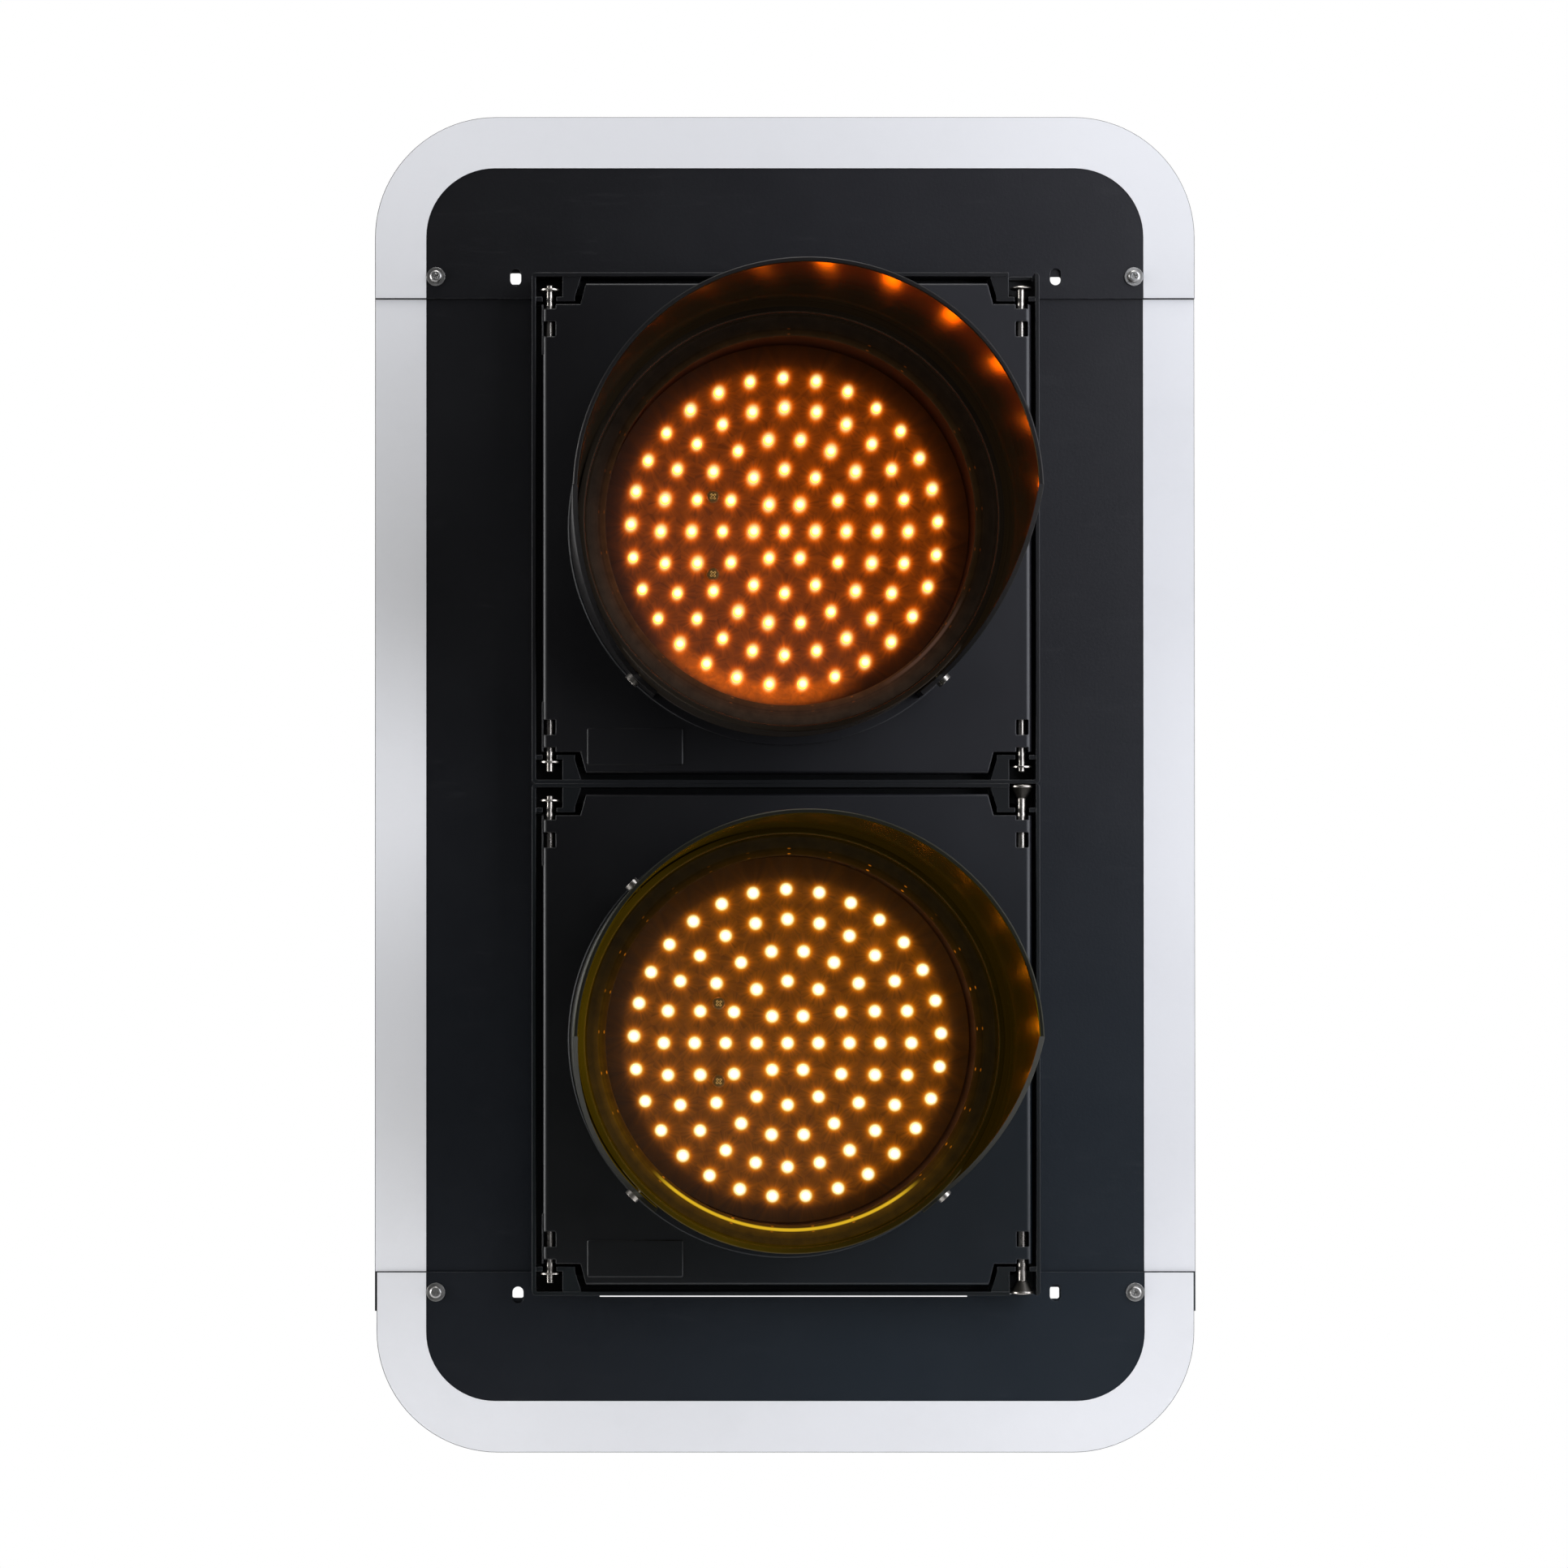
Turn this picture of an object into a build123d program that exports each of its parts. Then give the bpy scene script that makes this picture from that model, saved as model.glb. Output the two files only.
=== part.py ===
from build123d import *
import math
import os

os.makedirs("parts", exist_ok=True)

# Two-aspect street signal head, millimetres.
# +X is to the right seen from the road, -Y faces the road, +Z is up.
# The origin is the centre of the bottom bracket bore, on the underside of the housing.

# ---- driving dimensions -------------------------------------------------
PITCH = 275.0  # height of one housing module
MOD_W = 273.0  # width over the module's front flange
FRONT = -64.0  # door face plane
BACK = 48.0  # back of the housing
FLANGE_D = 20.0  # depth of the front flange
BODY_W = 263.0  # width of the case behind the flange
BODY_H = 267.0
WALL = 3.0
RIM_IN_W = 268.8  # clear width inside the front flange
RIM_IN_H = 271.0
LEDGE = 16.0  # depth of the sealing ledge behind the door face

DOOR_W = 263.4
DOOR_X = 0.6  # the door hangs slightly to the right of its pins
DOOR_H = 264.0
DOOR_T = 3.5
SKIRT = 13.5
SKIRT_T = 3.0
PIN_X = 127.0
PIN_Y = FRONT + 4.5  # hinge axis, behind the door face
PIN_R = 2.1
DISC_PIN_R = 2.2
CONE_PIN_R = 2.5
SLOT_HALF = 3.8  # half width of the lug slots
NOTCH_Z = 120.4  # half height of the door between its corner notches

LAMP_R = 100.8  # outer radius of the lamp shell
COLLAR_RI = 109.0
COLLAR_RO = 112.3
COLLAR_L = 46.0
LENS_Y = FRONT - 33.0  # plane the lens edge rests on
LENS_RF = (100.5**2 + 7.0**2) / 14.0  # front sphere of the lens
LENS_RB = (97.0**2 + 6.8**2) / 13.6  # back sphere of the lens
BOARD_Y = FRONT + 6.0  # front face of the LED board
HOLDER_Y = BOARD_Y - 6.0  # front face of the plate the LEDs stand through

VISOR_R0 = 116.0  # outer radius at the door
VISOR_R1 = 117.4  # outer radius at the rim
VISOR_T = 2.6
VISOR_L = 171.0
VISOR_STRIP = 24.0  # depth of the low side strips
SCREW_D = 16.0  # visor screws, in front of the door face

BORE_R = 24.0  # bracket bore, top and bottom
RING_R = 34.0

PANEL_W = 445.0
PANEL_H = 724.6
PANEL_X, PANEL_Z = 1.0, 0.8  # centre of the board, from the joint between the modules
PANEL_Y = FRONT + 22.0  # front of the end caps
SHEET = 1.6
CORNER_R = 65.6
BAND = 28.3
MID = PITCH  # height of the joint between the two modules

MODULES = (("lower", 0.0), ("upper", PITCH))


def face(y, zc=0.0):
    """A plane facing the road at depth y: local x is +X, local y is +Z."""
    return Plane(origin=(0, y, zc), x_dir=(1, 0, 0), z_dir=(0, -1, 0))


def flat(z):
    """A level plane at height z: local x is +X, local y is +Y."""
    return Plane(origin=(0, 0, z), x_dir=(1, 0, 0), z_dir=(0, 0, 1))


def save(builder, name):
    builder.part.label = name
    export_step(builder.part, f"parts/{name}.step")


def pin_kinds(side):
    """Pin kind at each door corner: (x side, z side) -> clip, disc or cone."""
    kinds = {(-1, 1): "clip", (-1, -1): "clip"}
    kinds[(1, 1)] = "disc" if side == "upper" else "cone"
    kinds[(1, -1)] = "clip" if side == "upper" else "cone"
    return kinds


# ---- housing modules ----------------------------------------------------
for side, z0 in MODULES:
    zc = z0 + PITCH / 2
    kinds = pin_kinds(side)
    with BuildPart() as housing:
        # case behind the flange
        with BuildSketch(face(FRONT + LEDGE, zc)):
            RectangleRounded(BODY_W, BODY_H, 9)
        extrude(amount=-(BACK - FRONT - LEDGE))
        fillet(housing.faces().sort_by(Axis.Y)[-1].edges(), 9)
        # front flange
        with BuildSketch(face(FRONT, zc)):
            RectangleRounded(MOD_W, PITCH, 2.2)
        extrude(amount=-FLANGE_D)
        # bracket rings on the case ends
        for zr, up in ((z0, 1), (z0 + PITCH, -1)):
            own_end = (side == "lower") == (up == 1)
            proud = 0.0 if own_end else 1.0
            with BuildSketch(flat(zr + up * proud)):
                Circle(RING_R)
            extrude(amount=up * (11.0 - proud))
        # hollow
        with BuildSketch(face(FRONT, zc)):
            RectangleRounded(RIM_IN_W, RIM_IN_H, 1.2)
        extrude(amount=-LEDGE, mode=Mode.SUBTRACT)
        with BuildSketch(face(FRONT + LEDGE, zc)):
            RectangleRounded(BODY_W - 2 * WALL, BODY_H - 2 * WALL - 6.0, 6)
        extrude(amount=-(BACK - WALL - FRONT - LEDGE), mode=Mode.SUBTRACT)
        floor = housing.faces().filter_by_position(
            Axis.Y, BACK - WALL - 0.01, BACK - WALL + 0.01
        )
        fillet(floor.edges(), 6)
        # corner lugs: a block beside each pocket and a slotted plate across it
        for sx in (-1, 1):
            for sz in (-1, 1):
                with BuildSketch(face(FRONT + 0.6, zc)):
                    with BuildLine():
                        Polyline(
                            (sx * 120.0, sz * 136.4),
                            (sx * 109.8, sz * 136.4),
                            (sx * 113.4, sz * 124.5),
                            (sx * 113.4, sz * 122.1),
                            (sx * 135.0, sz * 122.1),
                            (sx * 135.0, sz * 124.5),
                            (sx * 120.0, sz * 124.5),
                            close=True,
                        )
                    make_face()
                extrude(amount=-(LEDGE + 1.4))
                # slot, open to the road
                with BuildSketch(flat(zc + sz * 123.3 - 2.0)):
                    with Locations((sx * PIN_X, PIN_Y)):
                        Circle(SLOT_HALF)
                    with Locations((sx * PIN_X, PIN_Y - 4.0)):
                        Rectangle(2 * SLOT_HALF, 8.0)
                extrude(amount=4.0, mode=Mode.SUBTRACT)
                # a headed pin's pocket is open through the end wall
                if kinds[(sx, sz)] != "clip":
                    with BuildSketch(face(FRONT - 1, zc)):
                        with Locations((sx * 127.2, sz * 136.0)):
                            Rectangle(14.4, 4.0)
                    extrude(amount=-(LEDGE - 1.0), mode=Mode.SUBTRACT)
        # bracket bores with serrated faces on the free ends
        with BuildSketch(flat(z0 - 1)):
            Circle(BORE_R)
        extrude(amount=20, mode=Mode.SUBTRACT)
        with BuildSketch(flat(z0 + PITCH + 1)):
            Circle(BORE_R)
        extrude(amount=-20, mode=Mode.SUBTRACT)
        end_z = z0 if side == "lower" else z0 + PITCH
        end_up = 1 if side == "lower" else -1
        with BuildSketch(flat(end_z)):
            with PolarLocations(30.5, 30):
                Rectangle(5.4, 2.6)
        extrude(amount=end_up * 1.2, mode=Mode.SUBTRACT)
        # screw holes for the panel brackets in the side walls
        for sx in (-1, 1):
            with BuildSketch(
                Plane(origin=(sx * 140, 0, zc), x_dir=(0, 1, 0), z_dir=(1, 0, 0))
            ):
                with Locations((-22.0, -60.0), (-22.0, 60.0)):
                    Circle(2.1)
            extrude(amount=-sx * 20, mode=Mode.SUBTRACT)
        # a shallow moulded field and two ribs on the back
        with BuildSketch(face(BACK, zc)):
            RectangleRounded(190, 190, 14)
        extrude(amount=0.9, mode=Mode.SUBTRACT)
        with BuildSketch(face(BACK, zc)):
            with Locations((-60, 0), (0, 0), (60, 0)):
                RectangleRounded(5, 150, 2.4)
        extrude(amount=1.2)
    save(housing, f"{side}_housing")

# ---- module coupling ----------------------------------------------------
with BuildPart() as coupling_tube:
    with BuildSketch(flat(MID - 26)):
        Circle(BORE_R - 0.15)
        Circle(BORE_R - 4.0, mode=Mode.SUBTRACT)
    extrude(amount=52)
    # thread grooves beyond the case walls
    with BuildSketch(Plane.XZ):
        for k in range(5):
            for sz in (-1, 1):
                with Locations((BORE_R - 0.15, MID + sz * (14.0 + 2.4 * k))):
                    Polygon((0.2, 0.8), (-0.9, 0.0), (0.2, -0.8), align=None)
    revolve(axis=Axis.Z, mode=Mode.SUBTRACT)
save(coupling_tube, "coupling_tube")

with BuildPart() as coupling_seal:
    with BuildSketch(flat(MID - 1.0)):
        Circle(RING_R - 0.8)
        Circle(BORE_R + 0.6, mode=Mode.SUBTRACT)
    extrude(amount=2.0)
save(coupling_seal, "coupling_seal")

with BuildPart() as coupling_nuts:
    for zn, up in ((MID - 11.0, -1), (MID + 11.0, 1)):
        with BuildSketch(flat(zn + up * 1.6)):
            Circle(32.0)
            Circle(BORE_R - 0.1, mode=Mode.SUBTRACT)
            with PolarLocations(32.0, 6):
                Rectangle(7.0, 6.0, mode=Mode.SUBTRACT)
        extrude(amount=up * 7.0)
    rims = coupling_nuts.edges().filter_by(GeomType.CIRCLE).group_by(SortBy.RADIUS)[-1]
    chamfer(rims, 0.7)
save(coupling_nuts, "coupling_nuts")

with BuildPart() as coupling_washers:
    for zn, up in ((MID - 11.0, -1), (MID + 11.0, 1)):
        with BuildSketch(flat(zn)):
            Circle(33.0)
            Circle(BORE_R + 0.2, mode=Mode.SUBTRACT)
        extrude(amount=up * 1.6)
save(coupling_washers, "coupling_washers")

# ---- terminal block -----------------------------------------------------
TB_Z = 34.0
with BuildPart() as terminal_block:
    with BuildSketch(face(BACK - WALL, TB_Z)):
        RectangleRounded(118, 22, 1.5)
    extrude(amount=17)
    with BuildSketch(face(BACK - WALL - 17, TB_Z)):
        with GridLocations(14, 1, 8, 1):
            Circle(3.2)
    extrude(amount=-4.0, mode=Mode.SUBTRACT)
    # wire ports
    with BuildSketch(flat(TB_Z + 11)):
        with Locations(*[(-49 + 14 * k, BACK - WALL - 6.5) for k in range(8)]):
            Circle(2.3)
    extrude(amount=-9.0, mode=Mode.SUBTRACT)
    with BuildSketch(flat(TB_Z - 11)):
        with Locations(*[(-49 + 14 * k, BACK - WALL - 6.5) for k in range(8)]):
            Circle(2.3)
    extrude(amount=9.0, mode=Mode.SUBTRACT)
save(terminal_block, "terminal_block")

with BuildPart() as terminal_screws:
    with BuildSketch(face(BACK - WALL - 13.0, TB_Z)):
        with GridLocations(14, 1, 8, 1):
            Circle(2.9)
    extrude(amount=2.2)
    with BuildSketch(face(BACK - WALL - 15.2, TB_Z)):
        with GridLocations(14, 1, 8, 1):
            Rectangle(4.6, 0.9, rotation=30)
    extrude(amount=-1.0, mode=Mode.SUBTRACT)
save(terminal_screws, "terminal_screws")

# ---- backing board ------------------------------------------------------
CAP_TOP = MID + 264.4  # lower edge of the top cap's arms
CAP_BOT = MID - 263.8
HALF_H = PANEL_H / 2
SLOTS = {"top": ((-145.1, 276.0), (148.0, 276.3)), "bottom": ((-143.9, -276.3), (147.3, -275.0))}
SQUARES = {-1: ((-145.2, 275.5), (-143.9, -274.8)), 1: ((148.1, 273.5), (146.7, -275.2))}
JOIN = [(PANEL_X + sx * 189.5, PANEL_Z + sz * 275.5) for sx in (-1, 1) for sz in (-1, 1)]

with BuildPart() as board_top_cap:
    with BuildSketch(face(PANEL_Y, MID)):
        with Locations((PANEL_X, PANEL_Z)):
            RectangleRounded(PANEL_W, PANEL_H, CORNER_R)
        with Locations((0, -HALF_H + (CAP_TOP - MID))):
            Rectangle(PANEL_W + 6, PANEL_H, mode=Mode.SUBTRACT)
        with Locations((0, 548.0 - MID - 50)):
            Rectangle(266.0, 100, mode=Mode.SUBTRACT)
        with Locations(*SLOTS["top"]):
            SlotOverall(9.1, 5.9, rotation=90, mode=Mode.SUBTRACT)
        with Locations(*[p for p in JOIN if p[1] > 0]):
            Circle(2.1, mode=Mode.SUBTRACT)
    extrude(amount=-SHEET)
save(board_top_cap, "board_top_cap")

with BuildPart() as board_bottom_cap:
    with BuildSketch(face(PANEL_Y, MID)):
        with Locations((PANEL_X, PANEL_Z)):
            RectangleRounded(PANEL_W - 2.0, PANEL_H, CORNER_R)
        with Locations((0, HALF_H + (CAP_BOT - MID))):
            Rectangle(PANEL_W + 6, PANEL_H, mode=Mode.SUBTRACT)
        with Locations((0, -PITCH - 0.8 + 50)):
            Rectangle(266.0, 100, mode=Mode.SUBTRACT)
        with Locations((0, -PITCH - 2.35 + 50)):
            Rectangle(199.2, 100, mode=Mode.SUBTRACT)
        with Locations(*SLOTS["bottom"]):
            SlotOverall(9.1, 5.9, rotation=90, mode=Mode.SUBTRACT)
        with Locations(*[p for p in JOIN if p[1] < 0]):
            Circle(2.1, mode=Mode.SUBTRACT)
    extrude(amount=-SHEET)
save(board_bottom_cap, "board_bottom_cap")

for sx, name in ((-1, "board_left_panel"), (1, "board_right_panel")):
    with BuildPart() as side_panel:
        with BuildSketch(face(PANEL_Y + SHEET, MID)):
            with Locations(((sx * (133.0 + PANEL_W / 2) + PANEL_X) / 2, 0)):
                Rectangle(PANEL_W / 2 + sx * PANEL_X - 133.0, 570.0)
            with Locations(*SQUARES[sx]):
                RectangleRounded(6.1, 6.3, 1.2, mode=Mode.SUBTRACT)
            with Locations(*[p for p in JOIN if sx * p[0] > 0]):
                Circle(2.1, mode=Mode.SUBTRACT)
        extrude(amount=-SHEET)
        # welded studs for the case brackets
        with BuildSketch(face(PANEL_Y + 1.5 * SHEET, MID)):
            with Locations((sx * 150, 197.5), (sx * 150, 77.5), (sx * 150, -77.5), (sx * 150, -197.5)):
                Circle(2.0)
        extrude(amount=-9.0)
    save(side_panel, name)

# white reflective border films on the four sheets
FILM = 0.4
with BuildPart() as film_top:
    with BuildSketch(face(PANEL_Y, MID)):
        with Locations((PANEL_X, PANEL_Z)):
            RectangleRounded(PANEL_W - 0.6, PANEL_H - 0.6, CORNER_R - 0.3)
            RectangleRounded(PANEL_W - 2 * BAND + 1.0, PANEL_H - 2 * BAND + 1.0, 37.4, mode=Mode.SUBTRACT)
        with Locations((0, -HALF_H + (CAP_TOP - MID) + 0.3)):
            Rectangle(PANEL_W + 6, PANEL_H, mode=Mode.SUBTRACT)
        with Locations(*[p for p in JOIN if p[1] > 0]):
            Circle(5.3, mode=Mode.SUBTRACT)
    extrude(amount=FILM)
save(film_top, "border_film_top")

with BuildPart() as film_bottom:
    with BuildSketch(face(PANEL_Y, MID)):
        with Locations((PANEL_X, PANEL_Z)):
            RectangleRounded(PANEL_W - 2.6, PANEL_H - 0.6, CORNER_R - 0.3)
            RectangleRounded(PANEL_W - 2 * BAND + 1.0, PANEL_H - 2 * BAND + 1.0, 37.4, mode=Mode.SUBTRACT)
        with Locations((0, HALF_H + (CAP_BOT - MID) - 0.3)):
            Rectangle(PANEL_W + 6, PANEL_H, mode=Mode.SUBTRACT)
        with Locations(*[p for p in JOIN if p[1] < 0]):
            Circle(5.3, mode=Mode.SUBTRACT)
    extrude(amount=FILM)
save(film_bottom, "border_film_bottom")

for sx, name in ((-1, "border_film_left"), (1, "border_film_right")):
    zlo, zhi = CAP_BOT + 0.3, CAP_TOP - 0.3
    with BuildPart() as film_side:
        with BuildSketch(face(PANEL_Y + SHEET, (zlo + zhi) / 2)):
            with Locations((PANEL_X + sx * (PANEL_W / 2 - 0.3 - (BAND - 0.8) / 2), 0)):
                Rectangle(BAND - 0.8, zhi - zlo)
        extrude(amount=FILM)
    save(film_side, name)

# four pan-head screws that join the sheets, with washers and nuts
with BuildPart() as board_washers:
    with BuildSketch(face(PANEL_Y, MID)):
        with Locations(*JOIN):
            Circle(5.0)
            Circle(2.1, mode=Mode.SUBTRACT)
    extrude(amount=0.9)
save(board_washers, "board_washers")

with BuildPart() as board_screws:
    with BuildSketch(face(PANEL_Y - 0.9, MID)):
        with Locations(*JOIN):
            Circle(3.3)
    extrude(amount=2.2)
    fillet(board_screws.faces().sort_by(Axis.Y)[0:4].edges(), 1.2)
    with BuildSketch(face(PANEL_Y - 0.9, MID)):
        with Locations(*JOIN):
            Circle(2.0)
    extrude(amount=-9.0)
    with BuildSketch(face(PANEL_Y - 3.1, MID)):
        with Locations(*JOIN):
            Rectangle(3.2, 0.8, rotation=20)
            Rectangle(3.2, 0.8, rotation=110)
    extrude(amount=-1.2, mode=Mode.SUBTRACT)
save(board_screws, "board_screws")

with BuildPart() as board_nuts:
    with BuildSketch(face(PANEL_Y + 2 * SHEET, MID)):
        with Locations(*JOIN):
            RegularPolygon(4.0, 6)
            Circle(2.1, mode=Mode.SUBTRACT)
    extrude(amount=-3.2)
save(board_nuts, "board_nuts")

# angle brackets from the board to the case sides
BR_Z = [137.5 - 60, 137.5 + 60, 412.5 - 60, 412.5 + 60]
YB = PANEL_Y + 2 * SHEET
with BuildPart() as board_brackets:
    for sx in (-1, 1):
        for bz in BR_Z:
            with BuildSketch(flat(bz - 13)):
                with BuildLine():
                    Polyline(
                        (sx * 131.5, YB),
                        (sx * 166.0, YB),
                        (sx * 166.0, YB + 2.0),
                        (sx * 134.5, YB + 2.0),
                        (sx * 134.5, -10.0),
                        (sx * 131.5, -10.0),
                        close=True,
                    )
                make_face()
            extrude(amount=26)
    with BuildSketch(face(YB, 0)):
        with Locations(*[(sx * 150.0, bz) for sx in (-1, 1) for bz in BR_Z]):
            Circle(2.1)
    extrude(amount=-2.0, mode=Mode.SUBTRACT)
    for sx in (-1, 1):
        with BuildSketch(Plane(origin=(sx * 131.5, 0, 0), x_dir=(0, 1, 0), z_dir=(sx, 0, 0))):
            with Locations(*[(-22.0, bz) if sx > 0 else (-22.0, -bz) for bz in BR_Z]):
                Circle(2.1)
        extrude(amount=3.0, mode=Mode.SUBTRACT)
save(board_brackets, "board_brackets")

with BuildPart() as bracket_screws:
    # into the case side, head on the bracket
    for sx in (-1, 1):
        pts = [(-22.0, bz) if sx > 0 else (-22.0, -bz) for bz in BR_Z]
        with BuildSketch(Plane(origin=(sx * 134.5, 0, 0), x_dir=(0, 1, 0), z_dir=(sx, 0, 0))):
            with Locations(*pts):
                RegularPolygon(4.0, 6)
        extrude(amount=2.8)
        with BuildSketch(Plane(origin=(sx * 134.5, 0, 0), x_dir=(0, 1, 0), z_dir=(sx, 0, 0))):
            with Locations(*pts):
                Circle(2.0)
        extrude(amount=-9.5)
save(bracket_screws, "bracket_screws")

with BuildPart() as bracket_nuts:
    with BuildSketch(face(YB + 2.0, 0)):
        with Locations(*[(sx * 150.0, bz) for sx in (-1, 1) for bz in BR_Z]):
            RegularPolygon(4.0, 6)
            Circle(2.1, mode=Mode.SUBTRACT)
    extrude(amount=-3.2)
save(bracket_nuts, "bracket_nuts")

# ---- one aspect: door, lamp and visor -----------------------------------
RINGS = (
    (0.0, 1, 0.0),
    (16.6, 6, 30.0),
    (33.25, 12, 0.0),
    (49.9, 18, 10.0),
    (66.5, 24, 0.0),
    (82.6, 29, -0.5),
)
LED_XZ = []
for rad, count, start in RINGS:
    for k in range(count):
        a = math.radians(start + 360.0 / count * k)
        LED_XZ.append((rad * math.sin(a), rad * math.cos(a)))

LED_C = {"upper": (-0.7, -1.95), "lower": (0.8, -1.9)}  # centre of the LED pattern
PCB_SCREWS = {"upper": ((-39.2, 16.7), (-39.2, -25.0)), "lower": ((-36.2, 19.4), (-36.2, -22.4))}

with BuildPart() as one_led:
    with BuildSketch(Plane.XY):
        with BuildLine():
            Line((0, 0), (2.9, 0))
            Line((2.9, 0), (2.9, -1.0))
            Line((2.9, -1.0), (2.5, -1.0))
            Line((2.5, -1.0), (2.5, -6.2))
            RadiusArc((2.5, -6.2), (0, -8.7), 2.5)
            Line((0, -8.7), (0, 0))
        make_face()
    revolve(axis=Axis.Y)

for side, z0 in MODULES:
    zc = z0 + PITCH / 2
    kinds = pin_kinds(side)
    lamp_axis = Axis((0, 0, zc), (0, 1, 0))
    level = flat(zc)

    # door: pan with notched corners, collar, seat ring and lens flange
    outline = []
    for sx, sz in ((1, 1), (1, -1), (-1, -1), (-1, 1)):
        corner = [
            (DOOR_X + sx * 107.9, sz * DOOR_H / 2),
            (DOOR_X + sx * 111.0, sz * NOTCH_Z),
            (DOOR_X + sx * DOOR_W / 2, sz * NOTCH_Z),
        ]
        if sx * sz < 0:
            corner.reverse()
        outline += corner
    with BuildPart() as door:
        with BuildSketch(face(FRONT, zc)):
            with BuildLine():
                Polyline(*outline, close=True)
            make_face()
        extrude(amount=-SKIRT)
        long_edges = (
            door.edges().filter_by(Axis.Z).group_by(Axis.Y)[0].sort_by(Axis.X)
        )
        fillet([long_edges[0], long_edges[-1]], 3.2)
        top_edges = (
            door.edges().filter_by(Axis.X).group_by(Axis.Y)[0].sort_by(Axis.Z)
        )
        fillet([top_edges[0], top_edges[-1]], 1.6)
        with BuildSketch(face(FRONT + SKIRT, zc)):
            with BuildLine():
                Polyline(*outline, close=True)
            make_face()
            offset(amount=-SKIRT_T, mode=Mode.REPLACE, kind=Kind.INTERSECTION)
        extrude(amount=SKIRT - DOOR_T, mode=Mode.SUBTRACT)
        # knuckles that take the pins
        for (sx, sz), kind in kinds.items():
            zk = zc + sz * (NOTCH_Z - 13.5)
            with BuildSketch(flat(zk - 13.5)):
                with Locations((sx * 125.9, FRONT + 4.9)):
                    Rectangle(10.4, 8.2)
            extrude(amount=27.0)
        for (sx, sz), kind in kinds.items():
            radius = {"clip": PIN_R, "disc": DISC_PIN_R + 0.05, "cone": CONE_PIN_R + 0.05}[kind]
            z_end = zc + sz * (NOTCH_Z + 1.0)
            with BuildSketch(flat(z_end)):
                with Locations((sx * PIN_X, PIN_Y)):
                    Circle(radius)
            extrude(amount=-sz * 24.0, mode=Mode.SUBTRACT)
            # entry recess and sight window, open to the road
            with BuildSketch(face(FRONT - 1.0, zc)):
                with Locations((sx * PIN_X, sz * (NOTCH_Z - 0.9))):
                    Rectangle(6.6, 3.0)
                with Locations((sx * PIN_X, sz * 107.2)):
                    RectangleRounded(6.6, 8.3, 0.8)
            extrude(amount=-8.0, mode=Mode.SUBTRACT)
        # collar, seat ring, lens flange
        with BuildSketch(level):
            with BuildLine():
                Polyline(
                    (COLLAR_RI, FRONT + DOOR_T),
                    (COLLAR_RO + 4.6, FRONT + DOOR_T),
                    (COLLAR_RO + 4.6, FRONT - 2.0),
                    (COLLAR_RO, FRONT - 2.0),
                    (COLLAR_RO, FRONT - COLLAR_L + 0.6),
                    (COLLAR_RO - 0.6, FRONT - COLLAR_L),
                    (COLLAR_RI + 0.6, FRONT - COLLAR_L),
                    (COLLAR_RI, FRONT - COLLAR_L + 0.6),
                    close=True,
                )
            make_face()
        revolve(axis=lamp_axis)
        with BuildSketch(face(FRONT + 8.0, zc)):
            Circle(COLLAR_RI)
        extrude(amount=8.0 + COLLAR_L + 1.0, mode=Mode.SUBTRACT)
        with BuildSketch(level):
            with Locations(((102.2 + COLLAR_RI + 0.4) / 2, FRONT - 24.5)):
                Rectangle(COLLAR_RI + 0.4 - 102.2, 3.0)
        revolve(axis=lamp_axis)
        # label pad
        with BuildSketch(face(FRONT, zc)):
            with Locations((-81.1, 19.9 - PITCH / 2)):
                RectangleRounded(51.0, 19.5, 0.8)
        extrude(amount=0.6)
        # posts for the lamp clamps
        with BuildSketch(face(FRONT + DOOR_T, zc)):
            with PolarLocations(121.5, 4):
                Circle(4.2)
        extrude(amount=-4.0)
        with BuildSketch(face(FRONT + DOOR_T + 4.0, zc)):
            with PolarLocations(121.5, 4):
                Circle(1.75)
        extrude(amount=6.0, mode=Mode.SUBTRACT)
        # radial holes for the visor screws
        for ang in (45, 135, 225, 315):
            a = math.radians(ang)
            d = (math.cos(a), 0, math.sin(a))
            with BuildSketch(
                Plane(
                    origin=(100 * d[0], FRONT - SCREW_D, zc + 100 * d[2]),
                    x_dir=(0, 1, 0),
                    z_dir=d,
                )
            ):
                Circle(2.05)
            extrude(amount=18.0, mode=Mode.SUBTRACT)
    save(door, f"{side}_door")

    # rubber gasket on the back of the door skirt
    with BuildPart() as gasket:
        with BuildSketch(face(FRONT + SKIRT, zc)):
            with BuildLine():
                Polyline(*outline, close=True)
            make_face()
            offset(amount=-0.8, mode=Mode.REPLACE, kind=Kind.INTERSECTION)
            with BuildLine():
                Polyline(*outline, close=True)
            inner = make_face(mode=Mode.PRIVATE)
            offset(inner, amount=-2.8, mode=Mode.SUBTRACT, kind=Kind.INTERSECTION)
        extrude(amount=-1.6)
    save(gasket, f"{side}_door_gasket")

    # lamp gasket, shell, clamps
    with BuildPart() as lamp_gasket:
        with BuildSketch(level):
            with Locations(((LAMP_R + 0.3 + 107.6) / 2, FRONT - 22.0)):
                Rectangle(107.6 - LAMP_R - 0.3, 2.0)
        revolve(axis=lamp_axis)
    save(lamp_gasket, f"{side}_lamp_gasket")

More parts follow.
